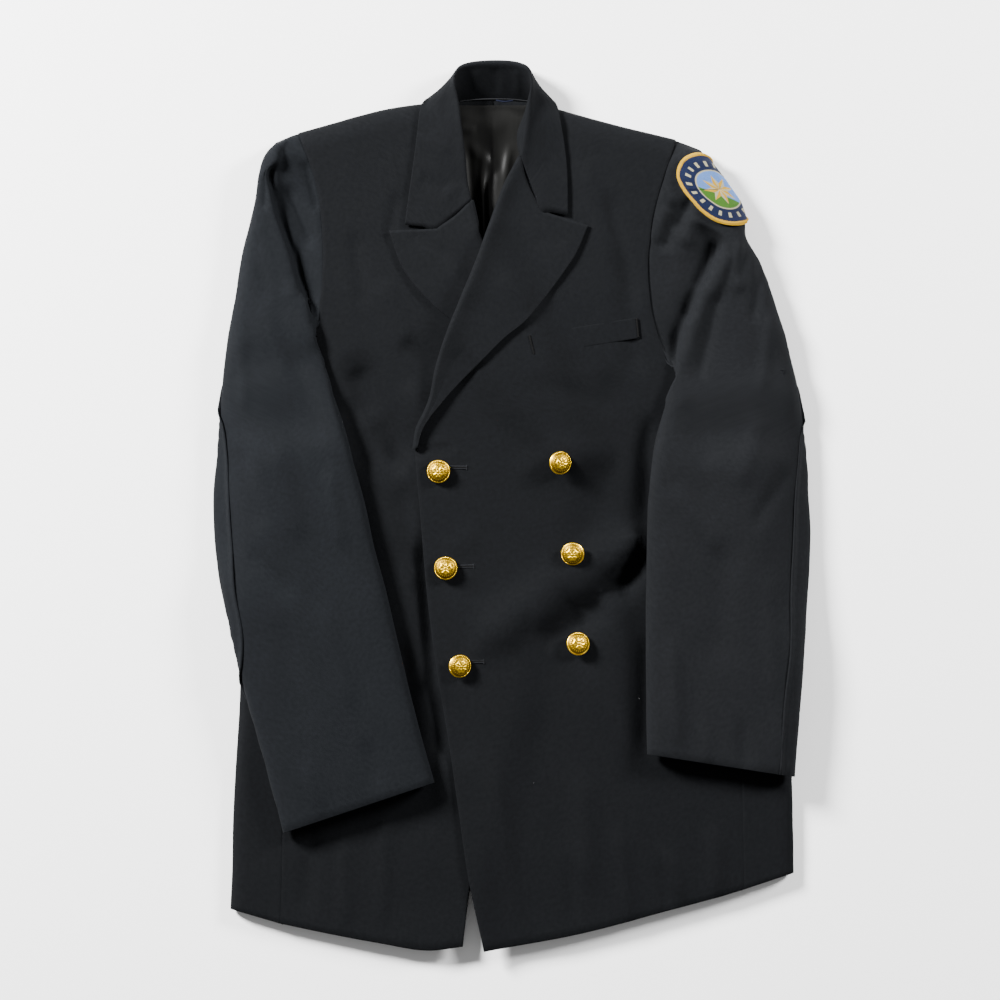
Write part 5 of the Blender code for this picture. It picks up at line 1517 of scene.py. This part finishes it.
def build_buttons():
    points, faces, recess_shade_and_matte = button_surface()
    rims = []
    for number, row in enumerate(BUTTONS):
        place, turn = button_frame(*row)
        spin = math.radians(23 * number)
        spun = np.array(Euler((0, 0, spin)).to_matrix())
        world = (points @ spun.T) @ turn.T + place
        mesh = bpy.data.meshes.new("button_" + str(number + 1))
        mesh.from_pydata(((world - MIDDLE) * MM).tolist(), [], faces)
        layer = mesh.attributes.new("recess_shade_and_matte", "FLOAT", "POINT")
        layer.data.foreach_set("value", recess_shade_and_matte.astype(np.float32))
        bm = bmesh.new()
        bm.from_mesh(mesh)
        piece = plain_mesh("gilt_button_" + str(number + 1), bm, look("gilt"))
        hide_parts("button_" + str(number + 1))
        angles = np.linspace(0, 2 * math.pi, 73)
        inside = BUTTON_DIAMETER / 2 - 1.0
        ring = np.column_stack([np.cos(angles) * inside, np.sin(angles) * inside,
                                np.full(len(angles), BUTTON_SHANK + 1.75)])
        ring[-1] = ring[0]
        rims.append(ring @ turn.T + place)
    stitches("button_rims", rims, look("gilt"), 0.8, (1.1, 0.8, 1.0), slant=0.0, unevenness=0.0)


def straight(a, b, height, count=24, lift=0.0):
    """Points of a straight plan line laid on a front."""
    plan = np.linspace(np.array(a, float), np.array(b, float), count)
    z = height(plan[:, 0], plan[:, 1]) + FRONT_WALL / 2 + lift
    return np.column_stack([plan, z])


def build_fronts():
    for name, side in SIDES.items():
        grid = draw_back(front_grid(side), last_row=SEWN_GAP, first_column=SEWN_GAP)
        grid = crease(grid, FRONT_CREASES[name], FRONT_SEEDS[name])
        grid = allow(sink(grid, ("last_row",), depth=0.3), "first_column", reach=1.5, drop=0.2)
        shell("cloth_front_" + name, grid, FRONT_WALL, look("wool"), nodes=("front_" + name,),
              sewn=("first_column", "last_row"))


def build_backs():
    for name, side in SIDES.items():
        grid = draw_back(back_grid(side), last_row=SEWN_GAP, first_column=SEWN_GAP, last_column=SEWN_GAP)
        grid = crease(grid, BACK_CREASES, BACK_SEED, height=0.1, floor_side=True)
        grid[..., 2] = np.maximum(grid[..., 2], BACK_WALL / 2)
        shell("cloth_back_" + name, grid, BACK_WALL, look("wool"), nodes=("back_" + name,),
              sewn=("first_column", "last_column", "last_row"))
        grid = refine(side_body(side["rows"], side["fold"], side["sign"]), *SIDE_STEPS)
        grid = draw_back(grid, last_row=SEWN_GAP, first_column=SEWN_GAP, last_column=SEWN_GAP)
        grid = crease(grid, FRONT_CREASES[name], FRONT_SEEDS[name])
        grid = allow(grid, "last_column", drop=0.35)
        grid[..., 2] = np.maximum(grid[..., 2], FRONT_WALL / 2)
        shell("cloth_side_" + name, grid, FRONT_WALL, look("wool"), nodes=("side_" + name,),
              sewn=("first_column", "last_column"))


def build_collar():
    for name, side in SIDES.items():
        grid = draw_back(fine_lapel(side), last_row=SEWN_GAP)
        grid = crease(grid, LAPEL_CREASES[name], LAPEL_SEEDS[name], height=0.35)
        grid = allow(grid, "last_row", reach=3.5, drop=1.1, part=slice(4, LAPEL_SPAN[0] + 3))
        shell("cloth_lapel_" + name, grid, FACING_WALL, look("wool"), nodes=("lapel_" + name,))
    grid = draw_back(refine(collar_grid(), *COLLAR_STEPS), first_row=SEWN_GAP, last_row=SEWN_GAP)
    grid = crease(grid, COLLAR_CREASES, COLLAR_SEED, height=0.3)
    gorge = slice(3 * COLLAR_STEPS[1], 7 * COLLAR_STEPS[1] + 1)
    for edge in ("first_row", "last_row"):
        grid = allow(grid, edge, reach=4.0, drop=1.9, part=gorge)
    grid[..., 2] = np.maximum(grid[..., 2], FACING_WALL * 0.6)
    shell("cloth_collar", grid, FACING_WALL, look("wool"), nodes=("collar",))

    left, right = even(LINING_LEFT, 60), even(LINING_RIGHT, 60)
    foot, neck = np.linspace(left[-1], right[-1], 40), np.linspace(left[0], right[0], 40)
    plan = coons(foot, neck, left[::-1], right[::-1])
    z = back_height(plan[..., 0], plan[..., 1]) + BACK_WALL / 2 + LINING_CLEAR + LINING_WALL / 2
    grid = np.dstack([plan, z + folds(plan[..., 0], plan[..., 1], LINING_FOLDS + LINING_CREASES)])
    shell("satin_lining", grid, LINING_WALL, look("satin"), nodes=("back_lining",))


def build_sleeves():
    for name, side in SIDES.items():
        top, under, paths = fine_sleeve(side)
        # Each sleeve takes a lighter copy of the body's wool as painted light, bluer on the viewer's left
        cloth = look("wool_lit_blue_sleeve" if name == "right" else "wool_lit_sleeve")
        top = crease(top, SLEEVE_CREASES[name], SLEEVE_SEEDS[name], height=0.4)
        top = sink(sink(top, ("first_column",), depth=0.3), ("last_column",), depth=0.15)
        top = allow(top, "first_column")
        under = crease(under, SLEEVE_CREASES[name], SLEEVE_SEEDS[name], height=0.4)
        under = allow(sink(under, ("first_column",), depth=0.15), "first_column", drop=0.9)
        for grid in (top, under):
            grid[..., 2] = np.maximum(grid[..., 2], SLEEVE_WALL / 2)
        shell("cloth_sleeve_top_" + name, top, SLEEVE_WALL, cloth, nodes=("sleeve_top_" + name,),
              sewn=("first_column", "last_column"))
        shell("cloth_sleeve_under_" + name, under, SLEEVE_WALL, cloth, nodes=("sleeve_under_" + name,),
              sewn=("first_column", "last_column"))
        if name == "left":
            build_patch(paths, side["head"])


def build_patch(paths, head):
    grid, places = patch_surface(paths, head)
    shell("embroidered_patch", grid, PATCH_WALL, look("patch"), nodes=("sleeve_patch",),
          places=places)
    edge = grid[:, -2].copy()
    edge[-1] = edge[0]
    normal = grid_normals(grid)[:, -2]
    normal[-1] = normal[0]
    stitches("patch_border", [edge + normal * 0.45], look("border"), 0.95, (3.4, 1.2, 1.15),
             slant=0.25, unevenness=0.08)


def build_welt():
    a, b, c, d = (np.array(corner) for corner in WELT)
    plan = coons(np.linspace(a, b, 60), np.linspace(d, c, 60), np.linspace(a, d, 14),
                 np.linspace(b, c, 14))
    grid = drape(plan, left_front_height)
    grid[..., 2] += FRONT_WALL / 2 - WELT_SINK
    shell("welt", grid, WELT_WALL * 0.5, look("wool"), nodes=("breast_welt",))
    ends = []
    for low, high in ((a, d), (b, c)):
        first, last = low + (high - low) * 0.06, low + (high - low) * 0.94
        ends.append(straight(first, last, left_front_height, lift=WELT_WALL * 0.3))
    # Real end tacks, coloured near-black as painted shade at the welt's ends
    stitches("welt_tacks", ends, look("slit_shade"), 0.55, (2.0, 1.0, 0.8), unevenness=0.1)


def build_buttonholes():
    sides, slit_shades = [], []
    for x0, y0, x1, y1 in BUTTONHOLES:
        a, b = np.array((x0, y0), float), np.array((x1, y1), float)
        across = np.array((a[1] - b[1], b[0] - a[0])) / np.linalg.norm(b - a)
        for way in (1, -1):
            out = across * 1.05 * way
            sides.append(straight(a + out, b + out, left_front_height, 30, 0.25))
        sides.append(straight(b + across * 1.9, b - across * 1.9, left_front_height, 8, 0.3))
        # Near-black beads along each cut: painted shade in the slit
        slit_shades.append(straight(a, b, left_front_height, 30, 0.3))
    stitches("buttonhole_stitches", sides, look("thread"), 0.62, (1.5, 1.0, 0.66), unevenness=0.12,
             seed=9)
    stitches("buttonhole_slit_shades", slit_shades, look("slit_shade"), 0.6, (1.1, 1.1, 0.8), unevenness=0.0)


def build_trims():
    """Hanger tape, whose lighter colour is a painted highlight on the lining's top edge, and its loop in
    the neck, and specks of lint.
    """
    tape_highlight = np.array([(-49.5, 385.4, 18.0), (-34, 387.2, 16.0), (-16.5, 387.8, 15.0), (2, 387.2, 16.0),
                     (14.0, 385.6, 18.0)])
    line = pick(curve(tape_highlight), np.linspace(0, lengths(curve(tape_highlight))[-1], 40))
    # Lighter tape along the lining's top edge: painted highlight
    stitches("hanger_tape_highlight", [line], look("tape_highlight"), 0.9, (1.0, 1.2, 1.5), unevenness=0.04)
    loop = np.array([(-15.0, 386.2, 17.5), (-8.0, 385.0, 18.3), (0.0, 386.0, 17.5)])
    line = pick(curve(loop), np.linspace(0, lengths(curve(loop))[-1], 20))
    stitches("hanger_loop", [line], look("loop"), 0.8, (1.8, 1.6, 1.4), unevenness=0.05)
    random = np.random.default_rng(5)
    bm = bmesh.new()
    for x, y, size in LINT:
        z = float(left_front_height(x, y) if x > -60 else front_height(x, y)) + FRONT_WALL / 2 + 0.35
        spot = (np.array((x, y, z)) - MIDDLE) * MM
        turn = Euler((0, 0, random.uniform(0, math.pi))).to_matrix().to_4x4()
        scale = Matrix.Diagonal((size * MM, size * 0.35 * MM, 0.25 * MM, 1))
        shape = Matrix.Translation(spot) @ turn @ scale
        bmesh.ops.create_icosphere(bm, subdivisions=1, radius=0.5, matrix=shape)
    plain_mesh("lint", bm, look("lint"))


def build_stage(settings):
    bm = bmesh.new()
    below = Matrix.Translation((0.0, 0.0, -0.0002))
    bmesh.ops.create_grid(bm, x_segments=1, y_segments=1, size=6.0, matrix=below)
    mesh = bpy.data.meshes.new("floor")
    bm.to_mesh(mesh)
    bm.free()
    mesh.materials.append(look("floor"))
    floor = bpy.data.objects.new("floor", mesh)
    bpy.context.scene.collection.objects.link(floor)

    world = bpy.data.worlds.new("soft_room")
    world.use_nodes = True
    world.node_tree.nodes["Background"].inputs["Color"].default_value = (1.0, 1.0, 1.0, 1.0)
    world.node_tree.nodes["Background"].inputs["Strength"].default_value = settings.room_light
    bpy.context.scene.world = world
    for name, place, size, power in (("key", (-2.3, 1.7, 1.5), 0.8, settings.key_light),
                                     ("second", (2.5, 1.5, 1.4), 0.9, settings.key_light * SECOND_SHARE)):
        data = bpy.data.lights.new(name, "AREA")
        data.shape = "DISK"
        data.size = size
        data.energy = power
        lamp = bpy.data.objects.new(name, data)
        lamp.location = place
        lamp.rotation_euler = (-Vector(place)).to_track_quat("-Z", "Y").to_euler()
        bpy.context.scene.collection.objects.link(lamp)

    data = bpy.data.cameras.new("camera")
    data.sensor_width = 36.0
    data.lens = 36.0 * CAMERA_HEIGHT / FRAME_WIDTH
    data.clip_end = 20.0
    camera = bpy.data.objects.new("camera", data)
    camera.location = (CAMERA_PLACE[0] * MM, CAMERA_PLACE[1] * MM, CAMERA_HEIGHT)
    bpy.context.scene.collection.objects.link(camera)
    bpy.context.scene.camera = camera


class JacketColours(bpy.types.PropertyGroup):
    """Colours that a user would change"""
    wool: bpy.props.FloatVectorProperty(name="Wool", description="Colour of the dyed serge",
                                        subtype="COLOR", size=3, min=0, max=1, default=PALETTE["wool"])
    satin: bpy.props.FloatVectorProperty(name="Lining", description="Colour of the lining", subtype="COLOR",
                                         size=3, min=0, max=1, default=PALETTE["satin"])
    gilt: bpy.props.FloatVectorProperty(name="Gilt", description="Colour of the buttons' gilding",
                                        subtype="COLOR", size=3, min=0, max=1, default=PALETTE["gilt"])
    border: bpy.props.FloatVectorProperty(name="Patch border", subtype="COLOR", size=3, min=0, max=1,
                                          description="Colour of the patch's edge thread",
                                          default=PALETTE["border"])


class JacketSettings(bpy.types.PropertyGroup):
    """Sizes and lights that a user would change"""
    rib_width: bpy.props.FloatProperty(name="Rib width", default=0.0011, min=0.0003, max=0.004,
                                       description="Width of one diagonal rib of the serge",
                                       unit="LENGTH", precision=4)
    room_light: bpy.props.FloatProperty(name="Room light",
                                        description="Strength of the soft light all round",
                                        default=0.33, min=0, max=5)
    key_light: bpy.props.FloatProperty(name="Key light", description="Power of the lamp at the upper left",
                                       default=690.0, min=0, max=2000, unit="POWER")


class JACKET_OT_backs(bpy.types.Operator):
    """Cuts the back panels and the side bodies"""
    bl_idname = "jacket.backs"
    bl_label = "Backs and sides"

    def execute(self, context):
        build_backs()
        return {"FINISHED"}


class JACKET_OT_fronts(bpy.types.Operator):
    """Cuts the two fronts with their creases"""
    bl_idname = "jacket.fronts"
    bl_label = "Fronts"

    def execute(self, context):
        build_fronts()
        return {"FINISHED"}


class JACKET_OT_collar(bpy.types.Operator):
    """Cuts the lapels, the collar and the lining in the neck"""
    bl_idname = "jacket.collar"
    bl_label = "Collar, lapels and lining"

    def execute(self, context):
        build_collar()
        return {"FINISHED"}


class JACKET_OT_sleeves(bpy.types.Operator):
    """Cuts the sleeves and sews the patch on"""
    bl_idname = "jacket.sleeves"
    bl_label = "Sleeves"

    def execute(self, context):
        build_sleeves()
        return {"FINISHED"}


class JACKET_OT_welt(bpy.types.Operator):
    """Cuts the breast pocket's welt and tacks its ends"""
    bl_idname = "jacket.welt"
    bl_label = "Breast welt"

    def execute(self, context):
        build_welt()
        return {"FINISHED"}


class JACKET_OT_buttonholes(bpy.types.Operator):
    """Sews the buttonholes of the left front"""
    bl_idname = "jacket.buttonholes"
    bl_label = "Buttonholes"

    def execute(self, context):
        build_buttonholes()
        return {"FINISHED"}


class JACKET_OT_buttons(bpy.types.Operator):
    """Strikes the six gilt buttons"""
    bl_idname = "jacket.buttons"
    bl_label = "Buttons"

    def execute(self, context):
        build_buttons()
        return {"FINISHED"}


class JACKET_OT_trims(bpy.types.Operator):
    """Sews in the hanger tape, lighter as a painted highlight, and scatters lint"""
    bl_idname = "jacket.trims"
    bl_label = "Trims"

    def execute(self, context):
        build_trims()
        return {"FINISHED"}


class JACKET_OT_stage(bpy.types.Operator):
    """Makes the floor, the lights and the camera"""
    bl_idname = "jacket.stage"
    bl_label = "Stage"

    def execute(self, context):
        build_stage(context.scene.jacket_settings)
        return {"FINISHED"}


STEPS = ("backs", "fronts", "collar", "sleeves", "welt", "buttonholes", "buttons", "trims", "stage")


class JACKET_PT_panel(bpy.types.Panel):
    """Sidebar panel that lists the settings and the steps"""
    bl_label = "Dress uniform jacket"
    bl_idname = "JACKET_PT_panel"
    bl_space_type = "VIEW_3D"
    bl_region_type = "UI"
    bl_category = "Jacket"

    def draw(self, context):
        layout = self.layout
        for holder in (context.scene.jacket_colours, context.scene.jacket_settings):
            for key in holder.__annotations__:
                layout.prop(holder, key)
        for step in STEPS:
            layout.operator("jacket." + step)


CLASSES = (JacketColours, JacketSettings, JACKET_OT_backs, JACKET_OT_fronts, JACKET_OT_collar,
           JACKET_OT_sleeves, JACKET_OT_welt, JACKET_OT_buttonholes, JACKET_OT_buttons, JACKET_OT_trims,
           JACKET_OT_stage, JACKET_PT_panel)


def register():
    for cls in CLASSES:
        bpy.utils.register_class(cls)
    bpy.types.Scene.jacket_colours = bpy.props.PointerProperty(type=JacketColours)
    bpy.types.Scene.jacket_settings = bpy.props.PointerProperty(type=JacketSettings)


def unregister():
    del bpy.types.Scene.jacket_settings
    del bpy.types.Scene.jacket_colours
    for cls in reversed(CLASSES):
        bpy.utils.unregister_class(cls)


def main():
    register()
    for step in STEPS:
        getattr(bpy.ops.jacket, step)()


if __name__ == "__main__":
    main()
